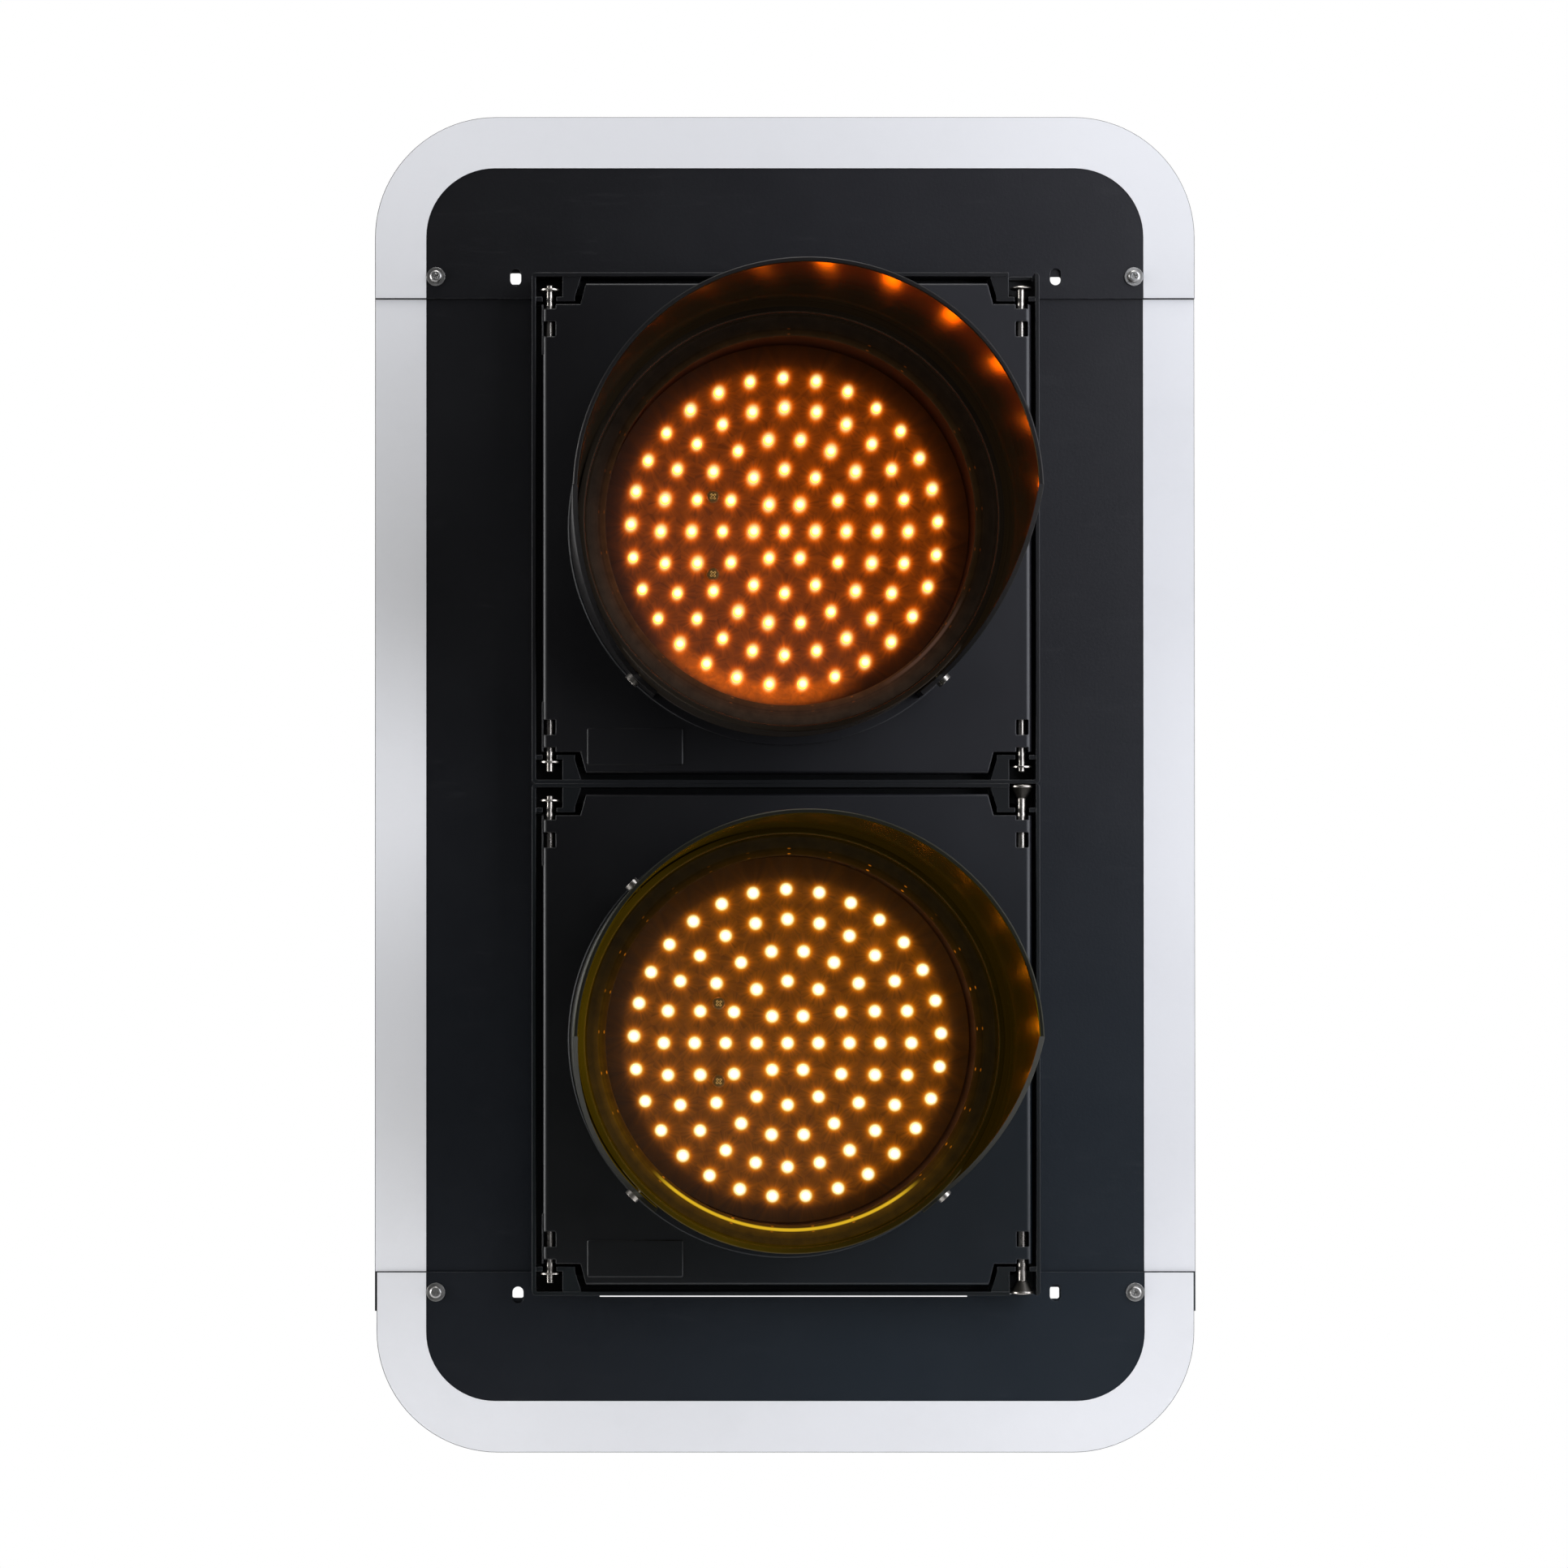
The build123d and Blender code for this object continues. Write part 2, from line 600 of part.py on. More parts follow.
    with BuildPart() as shell:
        with BuildSketch(level):
            with BuildLine():
                Polyline(
                    (0, FRONT + 42.0),
                    (88.0, FRONT + 42.0),
                    (LAMP_R - 2.0, FRONT + 30.0),
                    (LAMP_R, FRONT + 16.0),
                    (LAMP_R, FRONT - 18.0),
                    (107.6, FRONT - 18.0),
                    (107.6, FRONT - 21.0),
                    (LAMP_R, FRONT - 21.0),
                    (LAMP_R, LENS_Y),
                    (LAMP_R - 2.2, LENS_Y),
                    (LAMP_R - 2.2, BOARD_Y + 1.6),
                    (LAMP_R - 6.0, BOARD_Y + 1.6),
                    (LAMP_R - 6.0, FRONT + 28.0),
                    (86.5, FRONT + 39.8),
                    (0, FRONT + 39.8),
                    close=True,
                )
            make_face()
        revolve(axis=lamp_axis)
        # board posts and connector cut-out
        with BuildSketch(face(FRONT + 40.5, zc)):
            with Locations(*PCB_SCREWS[side]):
                Circle(3.6)
        extrude(amount=40.5 - 6.0 - 1.6)
        with BuildSketch(face(BOARD_Y + 1.6, zc)):
            with Locations(*PCB_SCREWS[side]):
                Circle(1.4)
        extrude(amount=-14.0, mode=Mode.SUBTRACT)
        with BuildSketch(face(FRONT + 43.0, zc)):
            with Locations((0, -55)):
                Rectangle(30.4, 14.4)
        extrude(amount=4.0, mode=Mode.SUBTRACT)
        # cooling ribs round the back
        with BuildSketch(face(FRONT + 41.0, zc)):
            with Locations((-52, 22), (-26, 22), (0, 22), (26, 22), (52, 22)):
                RectangleRounded(3.0, 70.0, 1.4)
        extrude(amount=-4.0)
    save(shell, f"{side}_lamp_shell")

    with BuildPart() as clamps:
        for ang in (0, 90, 180, 270):
            a = math.radians(ang)
            d = (math.cos(a), 0, math.sin(a))
            radial = Plane(origin=(0, 0, zc), x_dir=d, z_dir=(-d[2], 0, d[0]))
            # local x runs outward and local y runs along -Y or +Y
            sgn = 1 if radial.y_dir.Y > 0 else -1
            with BuildSketch(radial):
                with BuildLine():
                    Polyline(
                        (103.5, sgn * (FRONT - 18.0)),
                        (108.4, sgn * (FRONT - 18.0)),
                        (108.4, sgn * (FRONT + DOOR_T + 4.0)),
                        (126.0, sgn * (FRONT + DOOR_T + 4.0)),
                        (126.0, sgn * (FRONT + DOOR_T + 5.6)),
                        (106.8, sgn * (FRONT + DOOR_T + 5.6)),
                        (106.8, sgn * (FRONT - 16.4)),
                        (103.5, sgn * (FRONT - 16.4)),
                        close=True,
                    )
                make_face()
            extrude(amount=5.0, both=True)
        with BuildSketch(face(FRONT + DOOR_T + 4.0, zc)):
            with PolarLocations(121.5, 4):
                Circle(1.75)
        extrude(amount=-3.0, mode=Mode.SUBTRACT)
    save(clamps, f"{side}_lamp_clamps")

    with BuildPart() as clamp_screws:
        with BuildSketch(face(FRONT + DOOR_T + 5.6, zc)):
            with PolarLocations(121.5, 4):
                Circle(3.2)
        extrude(amount=-2.0)
        with BuildSketch(face(FRONT + DOOR_T + 5.6, zc)):
            with PolarLocations(121.5, 4):
                Circle(1.65)
        extrude(amount=6.8)
        with BuildSketch(face(FRONT + DOOR_T + 7.6, zc)):
            with PolarLocations(121.5, 4):
                Rectangle(4.0, 0.8)
        extrude(amount=0.9, mode=Mode.SUBTRACT)
    save(clamp_screws, f"{side}_clamp_screws")

    # LED board, its screws, LEDs and connector
    with BuildPart() as led_board:
        with BuildSketch(face(BOARD_Y, zc)):
            Circle(LAMP_R - 2.5)
            with Locations(*PCB_SCREWS[side]):
                Circle(1.7, mode=Mode.SUBTRACT)
        extrude(amount=-1.6)
    save(led_board, f"{side}_led_board")

    # black plate that keeps the LEDs in place
    spots = [(LED_C[side][0] + x, LED_C[side][1] + z) for x, z in LED_XZ]
    with BuildPart() as holder:
        with BuildSketch(face(HOLDER_Y, zc)):
            Circle(LAMP_R - 2.5)
            with Locations(*spots):
                Circle(2.7, mode=Mode.SUBTRACT)
            with Locations(*PCB_SCREWS[side]):
                Circle(1.7, mode=Mode.SUBTRACT)
        extrude(amount=-1.4)
    save(holder, f"{side}_led_holder")

    with BuildPart() as pcb_screws:
        with BuildSketch(face(HOLDER_Y, zc)):
            with Locations(*PCB_SCREWS[side]):
                Circle(3.4)
        extrude(amount=2.2)
        fillet(pcb_screws.faces().sort_by(Axis.Y)[0:2].edges(), 1.1)
        with BuildSketch(face(HOLDER_Y, zc)):
            with Locations(*PCB_SCREWS[side]):
                Circle(1.3)
        extrude(amount=-16.0)
        with BuildSketch(face(HOLDER_Y - 2.2, zc)):
            with Locations(*PCB_SCREWS[side]):
                Rectangle(3.4, 0.8, rotation=40)
                Rectangle(3.4, 0.8, rotation=130)
        extrude(amount=-1.2, mode=Mode.SUBTRACT)
    save(pcb_screws, f"{side}_pcb_screws")

    with BuildPart() as leds:
        with Locations(*[(x, BOARD_Y, zc + z) for x, z in spots]):
            add(one_led.part)
    save(leds, f"{side}_leds")

    with BuildPart() as connector:
        with BuildSketch(face(FRONT + 39.9, zc - 55)):
            Rectangle(30.0, 14.0)
        extrude(amount=-8.1)
        with BuildSketch(face(FRONT + 48.0, zc - 55)):
            with GridLocations(9.0, 1, 3, 1):
                Rectangle(6.0, 8.5)
        extrude(amount=6.0, mode=Mode.SUBTRACT)
    save(connector, f"{side}_lamp_connector")

    # clear lens, slightly domed, and the bezel that holds it
    with BuildPart() as lens:
        with BuildSketch(level):
            with BuildLine():
                front_arc = CenterArc(
                    (0, LENS_Y - 9.4 + LENS_RF), LENS_RF, -90, math.degrees(math.asin(100.5 / LENS_RF))
                )
                Line(front_arc @ 1, (100.5, LENS_Y))
                back_arc = CenterArc(
                    (0, LENS_Y - 6.8 + LENS_RB), LENS_RB, -90, math.degrees(math.asin(97.0 / LENS_RB))
                )
                Line((100.5, LENS_Y), back_arc @ 1)
                Line(back_arc @ 0, front_arc @ 0)
            make_face()
        revolve(axis=lamp_axis)
    save(lens, f"{side}_lens")

    with BuildPart() as bezel:
        with BuildSketch(level):
            with BuildLine():
                Polyline(
                    (LAMP_R + 0.1, FRONT - 26.1),
                    (102.7, FRONT - 26.1),
                    (102.7, LENS_Y - 1.6),
                    (108.5, LENS_Y - 4.6),
                    (108.5, LENS_Y - 6.4),
                    (107.9, LENS_Y - 7.0),
                    (102.0, LENS_Y - 4.4),
                    (98.6, LENS_Y - 4.4),
                    (97.9, LENS_Y - 3.9),
                    (97.9, LENS_Y - 2.95),
                    (100.7, LENS_Y - 2.6),
                    (100.7, LENS_Y - 0.2),
                    (LAMP_R + 0.1, LENS_Y - 0.2),
                    close=True,
                )
            make_face()
        revolve(axis=lamp_axis)
    save(bezel, f"{side}_bezel")

    # cutaway visor: flared tube, flat front, oblique lower cut, open below
    with BuildPart() as visor:
        with BuildSketch(level):
            with BuildLine():
                Polyline(
                    (VISOR_R0 - VISOR_T, FRONT - 2.1),
                    (VISOR_R0, FRONT - 2.1),
                    (VISOR_R1, FRONT - VISOR_L + 0.5),
                    (VISOR_R1 - 0.5, FRONT - VISOR_L),
                    (VISOR_R1 - VISOR_T + 0.5, FRONT - VISOR_L),
                    (VISOR_R1 - VISOR_T, FRONT - VISOR_L + 0.5),
                    close=True,
                )
            make_face()
        revolve(axis=lamp_axis)
        # side view of what is cut away, seen along X
        side_view = Plane(origin=(-150, 0, zc), x_dir=(0, -1, 0), z_dir=(-1, 0, 0))
        with BuildSketch(side_view):
            with BuildLine():
                FilletPolyline(
                    (-FRONT + VISOR_L + 90.0, 4.0 + 45.0),
                    (-FRONT + VISOR_L, 4.0),
                    (-FRONT + VISOR_STRIP, -81.5),
                    (-FRONT + VISOR_STRIP, -140.0),
                    radius=[30.0, 5.0],
                )
                Line((-FRONT + VISOR_STRIP, -140.0), (-FRONT + VISOR_L + 90.0, -140.0))
                Line((-FRONT + VISOR_L + 90.0, -140.0), (-FRONT + VISOR_L + 90.0, 49.0))
            make_face()
        extrude(amount=-300, mode=Mode.SUBTRACT)
        # open sector at the bottom
        with BuildSketch(face(FRONT + 1, zc)):
            with BuildLine():
                Polyline(
                    (0, 0),
                    (160 * math.sin(math.radians(142)), 160 * math.cos(math.radians(142))),
                    (0, -220),
                    (-160 * math.sin(math.radians(142)), 160 * math.cos(math.radians(142))),
                    close=True,
                )
            make_face()
        extrude(amount=VISOR_L + 5, mode=Mode.SUBTRACT)
        for ang in (45, 135, 225, 315):
            a = math.radians(ang)
            d = (math.cos(a), 0, math.sin(a))
            with BuildSketch(
                Plane(
                    origin=(108 * d[0], FRONT - SCREW_D, zc + 108 * d[2]),
                    x_dir=(0, 1, 0),
                    z_dir=d,
                )
            ):
                Circle(2.3)
            extrude(amount=14.0, mode=Mode.SUBTRACT)
    save(visor, f"{side}_visor")

    with BuildPart() as visor_screws:
        for ang in (45, 135, 225, 315):
            a = math.radians(ang)
            d = (math.cos(a), 0, math.sin(a))
            seat = VISOR_R0 + 0.25
            with BuildSketch(
                Plane(
                    origin=(107.4 * d[0], FRONT - SCREW_D, zc + 107.4 * d[2]),
                    x_dir=(0, 1, 0),
                    z_dir=d,
                )
            ):
                Circle(1.95)
            extrude(amount=seat - 107.4 + 0.2)
            with BuildSketch(
                Plane(
                    origin=(seat * d[0], FRONT - SCREW_D, zc + seat * d[2]),
                    x_dir=(0, 1, 0),
                    z_dir=d,
                )
            ):
                Circle(4.0)
            extrude(amount=2.6)
            with BuildSketch(
                Plane(
                    origin=((seat + 2.6) * d[0], FRONT - SCREW_D, zc + (seat + 2.6) * d[2]),
                    x_dir=(0, 1, 0),
                    z_dir=d,
                )
            ):
                Rectangle(5.0, 0.9, rotation=25)
                Rectangle(5.0, 0.9, rotation=115)
            extrude(amount=-1.2, mode=Mode.SUBTRACT)
    save(visor_screws, f"{side}_visor_screws")

    # plain pins with retaining clips
    clip_corners = [c for c in kinds if kinds[c] == "clip"]
    hinge_corners = [c for c in clip_corners if c[0] < 0]
    keeper_corners = [c for c in clip_corners if c[0] > 0]
    for group, corners in (("hinge_pins", hinge_corners), ("keeper_pin", keeper_corners)):
        if not corners:
            continue
        with BuildPart() as pins:
            for sx, sz in corners:
                with BuildSketch(flat(zc + sz * 131.2)):
                    with Locations((sx * PIN_X, PIN_Y)):
                        Circle(PIN_R - 0.05)
                extrude(amount=-sz * 31.5)
            ends = pins.faces().filter_by(Axis.Z)
            chamfer(ends.edges(), 0.4)
        save(pins, f"{side}_{group}")

    with BuildPart() as clips:
        for sx, sz in clip_corners:
            lift = {(-1, 1): 128.0, (-1, -1): 125.4, (1, -1): 128.0}[(sx, sz)]
            with BuildSketch(flat(zc + sz * lift)):
                with Locations((sx * PIN_X, PIN_Y)):
                    Circle(5.6)
                    Circle(PIN_R - 0.02, mode=Mode.SUBTRACT)
                with Locations((sx * PIN_X, PIN_Y + 3.6)):
                    Rectangle(3.0, 7.0, mode=Mode.SUBTRACT)
                with Locations((sx * PIN_X - 3.1, PIN_Y + 1.2), (sx * PIN_X + 3.1, PIN_Y + 1.2)):
                    Circle(0.8, mode=Mode.SUBTRACT)
            extrude(amount=sz * 0.9)
    save(clips, f"{side}_pin_clips")

    # headed latch pins
    if side == "upper":
        with BuildPart() as latch_pin:
            with BuildSketch(Plane(origin=(PIN_X, PIN_Y, 0), x_dir=(1, 0, 0), z_dir=(0, -1, 0))):
                with BuildLine():
                    Polyline(
                        (0, zc + 99.7),
                        (1.8, zc + 99.7),
                        (DISC_PIN_R, zc + 100.1),
                        (DISC_PIN_R, zc + 128.9),
                        (5.5, zc + 129.1),
                        (5.75, zc + 129.5),
                        (5.3, zc + 130.1),
                        (2.4, zc + 130.8),
                        (0, zc + 130.9),
                        close=True,
                    )
                make_face()
            revolve(axis=Axis((PIN_X, PIN_Y, 0), (0, 0, 1)))
            with BuildSketch(Plane(origin=(PIN_X, PIN_Y, zc + 131.2), x_dir=(1, 0, 0), z_dir=(0, 0, 1))):
                Rectangle(7.0, 1.2)
            extrude(amount=-1.2, mode=Mode.SUBTRACT)
        save(latch_pin, "upper_latch_pin")
    else:
        for sz, name in ((1, "lower_latch_pin_top"), (-1, "lower_latch_pin_bottom")):
            with BuildPart() as latch_pin:
                with BuildSketch(Plane(origin=(PIN_X, PIN_Y, 0), x_dir=(1, 0, 0), z_dir=(0, -1, 0))):
                    with BuildLine():
                        Polyline(
                            (0, zc + sz * 99.7),
                            (2.1, zc + sz * 99.7),
                            (CONE_PIN_R, zc + sz * 100.1),
                            (CONE_PIN_R, zc + sz * 129.6),
                            (3.2, zc + sz * 130.0),
                            (6.1, zc + sz * 135.6),
                            (6.1, zc + sz * 136.4),
                            (5.7, zc + sz * 136.8),
                            (0, zc + sz * 136.8),
                            close=True,
                        )
                    make_face()
                revolve(axis=Axis((PIN_X, PIN_Y, 0), (0, 0, 1)))
                with BuildSketch(
                    Plane(origin=(PIN_X, PIN_Y, zc + sz * 137.0), x_dir=(1, 0, 0), z_dir=(0, 0, 1))
                ):
                    Rectangle(8.0, 1.3)
                extrude(amount=-sz * 1.5, mode=Mode.SUBTRACT)
            save(latch_pin, name)
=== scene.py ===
"""Two-aspect signal head with a bordered backing board: finishes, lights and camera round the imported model."""

import math

import bpy
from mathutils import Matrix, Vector


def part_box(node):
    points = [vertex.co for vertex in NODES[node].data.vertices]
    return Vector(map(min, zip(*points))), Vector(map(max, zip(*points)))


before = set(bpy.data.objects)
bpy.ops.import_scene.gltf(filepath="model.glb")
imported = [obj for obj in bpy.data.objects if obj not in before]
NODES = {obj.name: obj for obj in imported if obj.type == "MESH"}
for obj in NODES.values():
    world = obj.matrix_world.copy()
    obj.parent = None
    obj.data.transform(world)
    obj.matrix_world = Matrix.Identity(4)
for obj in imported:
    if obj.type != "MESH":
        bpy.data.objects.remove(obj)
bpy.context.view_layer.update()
scene = bpy.context.scene
scene.view_settings.view_transform = "Standard"

# lamp centres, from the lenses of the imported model
LAMPS = {}
for side in ("upper", "lower"):
    low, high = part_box(side + "_lens")
    LAMPS[side] = ((low.x + high.x) / 2, (low.z + high.z) / 2)

# radius of each ring of light-emitting diodes in mm, how many there are, and the angle of the first
RINGS = (
    (0.0, 1, 0.0),
    (16.6, 6, 30.0),
    (33.25, 12, 0.0),
    (49.9, 18, 10.0),
    (66.5, 24, 0.0),
    (82.6, 29, -0.5),
)


# centre of the diode pattern, from the lens centre
PATTERN = {"upper": (-0.0007, -0.00195), "lower": (0.0008, -0.0019)}


class Net:
    """A material's node tree, with short calls for adding and joining nodes."""

    def __init__(self, tree):
        self.tree = tree

    def put(self, socket, value):
        if isinstance(value, bpy.types.NodeSocket):
            self.tree.links.new(value, socket)
        elif value is not None:
            if (
                socket.type == "RGBA"
                and hasattr(value, "__len__")
                and len(value) == 3
            ):
                value = (*value, 1.0)
            socket.default_value = value

    def add(self, kind, props=None, ins=None):
        node = self.tree.nodes.new(kind)
        for key, value in (props or {}).items():
            setattr(node, key, value)
        for key, value in (ins or {}).items():
            self.put(node.inputs[key], value)
        return node

    def math(self, op, a, b=None, c=None, clamp=False):
        node = self.add("ShaderNodeMath", {"operation": op, "use_clamp": clamp})
        for i, value in enumerate((a, b, c)):
            self.put(node.inputs[i], value)
        return node.outputs[0]

    def vmath(self, op, a, b=None, scale=None):
        node = self.add("ShaderNodeVectorMath", {"operation": op})
        self.put(node.inputs[0], a)
        if b is not None:
            self.put(node.inputs[1], b)
        if scale is not None:
            self.put(node.inputs["Scale"], scale)
        return node.outputs["Value" if op in ("LENGTH", "DOT_PRODUCT") else "Vector"]

    def span(self, value, a, b, c=0.0, d=1.0, kind="SMOOTHSTEP"):
        node = self.add(
            "ShaderNodeMapRange",
            {"interpolation_type": kind},
            {"Value": value, "From Min": a, "From Max": b, "To Min": c, "To Max": d},
        )
        return node.outputs["Result"]

    def ramp(self, value, stops, kind="LINEAR"):
        node = self.add("ShaderNodeValToRGB", None, {"Fac": value})
        band = node.color_ramp
        band.interpolation = kind
        while len(band.elements) > 1:
            band.elements.remove(band.elements[-1])
        for i, (place, colour) in enumerate(stops):
            mark = band.elements[0] if i == 0 else band.elements.new(place)
            mark.position = place
            mark.color = (*colour, 1.0) if len(colour) == 3 else colour
        return node.outputs["Color"]

    def mix(self, factor, a, b, blend="MIX"):
        node = self.add("ShaderNodeMix", {"data_type": "RGBA", "blend_type": blend})
        self.put(node.inputs["Factor"], factor)
        self.put([s for s in node.inputs if s.name == "A" and s.type == "RGBA"][0], a)
        self.put([s for s in node.inputs if s.name == "B" and s.type == "RGBA"][0], b)
        return [s for s in node.outputs if s.type == "RGBA"][0]

    def point(self, stretch=None):
        out = self.add("ShaderNodeTexCoord").outputs["Object"]
        return out if stretch is None else self.vmath("MULTIPLY", out, stretch)

    def noise(self, where, scale, detail=3.0, rough=0.5, warp=0.0, out="Fac"):
        node = self.add(
            "ShaderNodeTexNoise",
            None,
            {
                "Vector": where,
                "Scale": scale,
                "Detail": detail,
                "Roughness": rough,
                "Distortion": warp,
            },
        )
        return node.outputs[out]

    def cells(self, where, scale, feature="F1", out="Distance"):
        node = self.add(
            "ShaderNodeTexVoronoi", {"feature": feature}, {"Vector": where, "Scale": scale}
        )
        return node.outputs[out]

    def bump(self, height, strength, distance, normal=None):
        node = self.add(
            "ShaderNodeBump",
            None,
            {"Height": height, "Strength": strength, "Distance": distance},
        )
        if normal is not None:
            self.put(node.inputs["Normal"], normal)
        return node.outputs["Normal"]

    def bevel(self, radius, samples=6):
        return self.add(
            "ShaderNodeBevel", {"samples": samples}, {"Radius": radius}
        ).outputs["Normal"]

    def edge(self, rounded):
        """1 on worn outer corners, 0 on flats."""
        flat = self.add("ShaderNodeNewGeometry").outputs["Normal"]
        return self.math("SUBTRACT", 1.0, self.vmath("DOT_PRODUCT", rounded, flat))

    def finish(self, shader):
        out = self.add("ShaderNodeOutputMaterial")
        self.tree.links.new(shader, out.inputs["Surface"])


def material(name):
    mat = bpy.data.materials.new(name)
    mat.use_nodes = True
    mat.node_tree.nodes.clear()
    return mat, Net(mat.node_tree)


def moulded(
    name,
    high,
    low=None,
    rough=0.42,
    grain=0.00003,
    grain_scale=1500.0,
    spread=0.07,
    spec=0.5,
    radius=0.0005,
    wear=0.35,
    wear_colour=(0.05, 0.052, 0.058),
    scuffs=0.3,
    lamp=None,
    inner=None,
    painted_side_light=None,
    ring=None,
    wash=None,
    body_tint=(1.0, 1.0, 1.0),
):
    """Injection-moulded plastic: fine spark-eroded grain, flow marks, light scuffs and rubbed edges; optional
    painted side light, and painted lamp light on the collar or the visor's inside as a warm colour, tinted
    reflections and an emission glow.
    """
    mat, n = material(name)
    p = n.point()
    z = n.add("ShaderNodeSeparateXYZ", None, {"Vector": p}).outputs["Z"]
    base = high
    if low is not None:
        base = n.mix(n.span(z, 0.20, 0.34), low, high)
    if painted_side_light is not None:
        # painted side light: one side lighter than the other, (left, right) for the upper part, then for the lower
        across = n.span(n.add("ShaderNodeSeparateXYZ", None, {"Vector": p}).outputs["X"], -0.115, 0.115)
        base = n.mix(
            n.span(z, 0.06, 0.34),
            n.mix(across, painted_side_light[2], painted_side_light[3]),
            n.mix(across, painted_side_light[0], painted_side_light[1]),
        )
    flow = n.noise(n.point((7.0, 7.0, 3.0)), 2.2, 4.0, 0.55, 0.6)
    tint = body_tint
    mask = metallic = None
    if ring is not None:
        # the collar round the lens: painted lamp light, a warm colour and dimmed, warm reflections; also the mask
        # for the painted glow on the doors
        x, zc = LAMPS[lamp]
        out = n.vmath("MULTIPLY", n.vmath("SUBTRACT", p, (x, 0.0, zc)), (1.0, 0.0, 1.0))
        near = n.span(n.vmath("LENGTH", out), 0.1121, 0.1129, 1.0, 0.0)
        base = n.mix(near, base, ring[0])
        tint = n.mix(near, tint, ring[1])
        mask = near
    if inner is not None:
        # inside faces: painted lamp light, a warm colour and warm-tinted reflections
        x, zc = LAMPS[lamp]
        out = n.vmath("MULTIPLY", n.vmath("SUBTRACT", p, (x, 0.0, zc)), (1.0, 0.0, 1.0))
        facing = n.vmath(
            "DOT_PRODUCT",
            n.vmath("NORMALIZE", out),
            n.add("ShaderNodeNewGeometry").outputs["True Normal"],
        )
        inside = n.span(facing, -0.5, -0.3, 1.0, 0.0)
        base = n.mix(inside, base, inner[0])
        tint = n.mix(inside, tint, inner[1])
        mask = metallic = inside
    if wash is not None:
        # painted lamp glow: emission on the collar or the inside faces, stronger on one side
        around = n.add("ShaderNodeSeparateXYZ", None, {"Vector": out})
        turn = n.math("ARCTAN2", around.outputs["X"], around.outputs["Z"])
        lean = n.span(n.math("COSINE", n.math("ADD", turn, math.radians(110.0))), -0.2, 0.9)
        rings = n.noise(n.point((2.0, 60.0, 2.0)), 6.0, 4.0, 0.65, 0.3)
        washed = n.vmath(
            "SCALE",
            n.mix(lean, wash[0], wash[1]),
            scale=n.math("MULTIPLY", mask, n.span(rings, 0.3, 0.7, 0.65, 1.40, "LINEAR")),
        )
    mottled = n.mix(n.math("MULTIPLY", flow, 0.45), base, (0.0, 0.0, 0.0))
    dust = n.noise(p, 900.0, 2.0, 0.7)
    specks = n.span(dust, 0.70, 0.80)
    dusted = n.mix(n.math("MULTIPLY", specks, 0.10), mottled, (0.16, 0.165, 0.18))
    rounded = n.bevel(radius)
    rub = n.span(n.edge(rounded), 0.03, 0.22)
    patchy = n.span(n.noise(p, 60.0, 4.0, 0.6), 0.38, 0.66)
    worn = n.math("MULTIPLY", n.math("MULTIPLY", rub, patchy), wear)
    colour = n.mix(worn, dusted, wear_colour)
    scratch = n.noise(n.point((1.0, 1.0, 26.0)), 40.0, 5.0, 0.72, 0.8)
    scratch = n.span(scratch, 0.60, 0.72)
    broad = n.noise(p, 9.0, 4.0, 0.6)
    gloss = n.math("MULTIPLY_ADD", broad, spread * 2.0, rough - spread)
    gloss = n.math("MULTIPLY_ADD", scratch, scuffs * 0.12, gloss)
    gloss = n.math("ADD", gloss, n.math("MULTIPLY", specks, 0.12), clamp=True)
    pits = n.cells(p, grain_scale)
    fine = n.noise(p, grain_scale * 0.8, 2.0, 0.6)
    relief = n.math("MULTIPLY_ADD", pits, 0.5, fine)
    normal = n.bump(relief, 0.55, grain, rounded)
    wavy = n.bump(n.noise(p, 16.0, 2.0, 0.4), 0.25, 0.0004, normal)
    shader = n.add(
        "ShaderNodeBsdfPrincipled",
        None,
        {
            "Base Color": colour,
            "Roughness": gloss,
            "Specular IOR Level": spec,
            "Specular Tint": tint,
            "Normal": wavy,
        },
    )
    if metallic is not None:
        # glossy inside, duller outside; the inside is metallic, so its reflections take the painted warm colour
        n.put(shader.inputs["Metallic"], metallic)
        dull = n.math("MULTIPLY_ADD", broad, 0.12, 0.34)
        both = n.add("ShaderNodeMix", {"data_type": "FLOAT"}, {0: metallic, 2: dull, 3: gloss})
        n.put(shader.inputs["Roughness"], both.outputs[0])
    if wash is not None:
        # the painted lamp glow, as emission
        n.put(shader.inputs["Emission Color"], washed)
        n.put(shader.inputs["Emission Strength"], 1.0)
    n.finish(shader.outputs[0])
    return mat


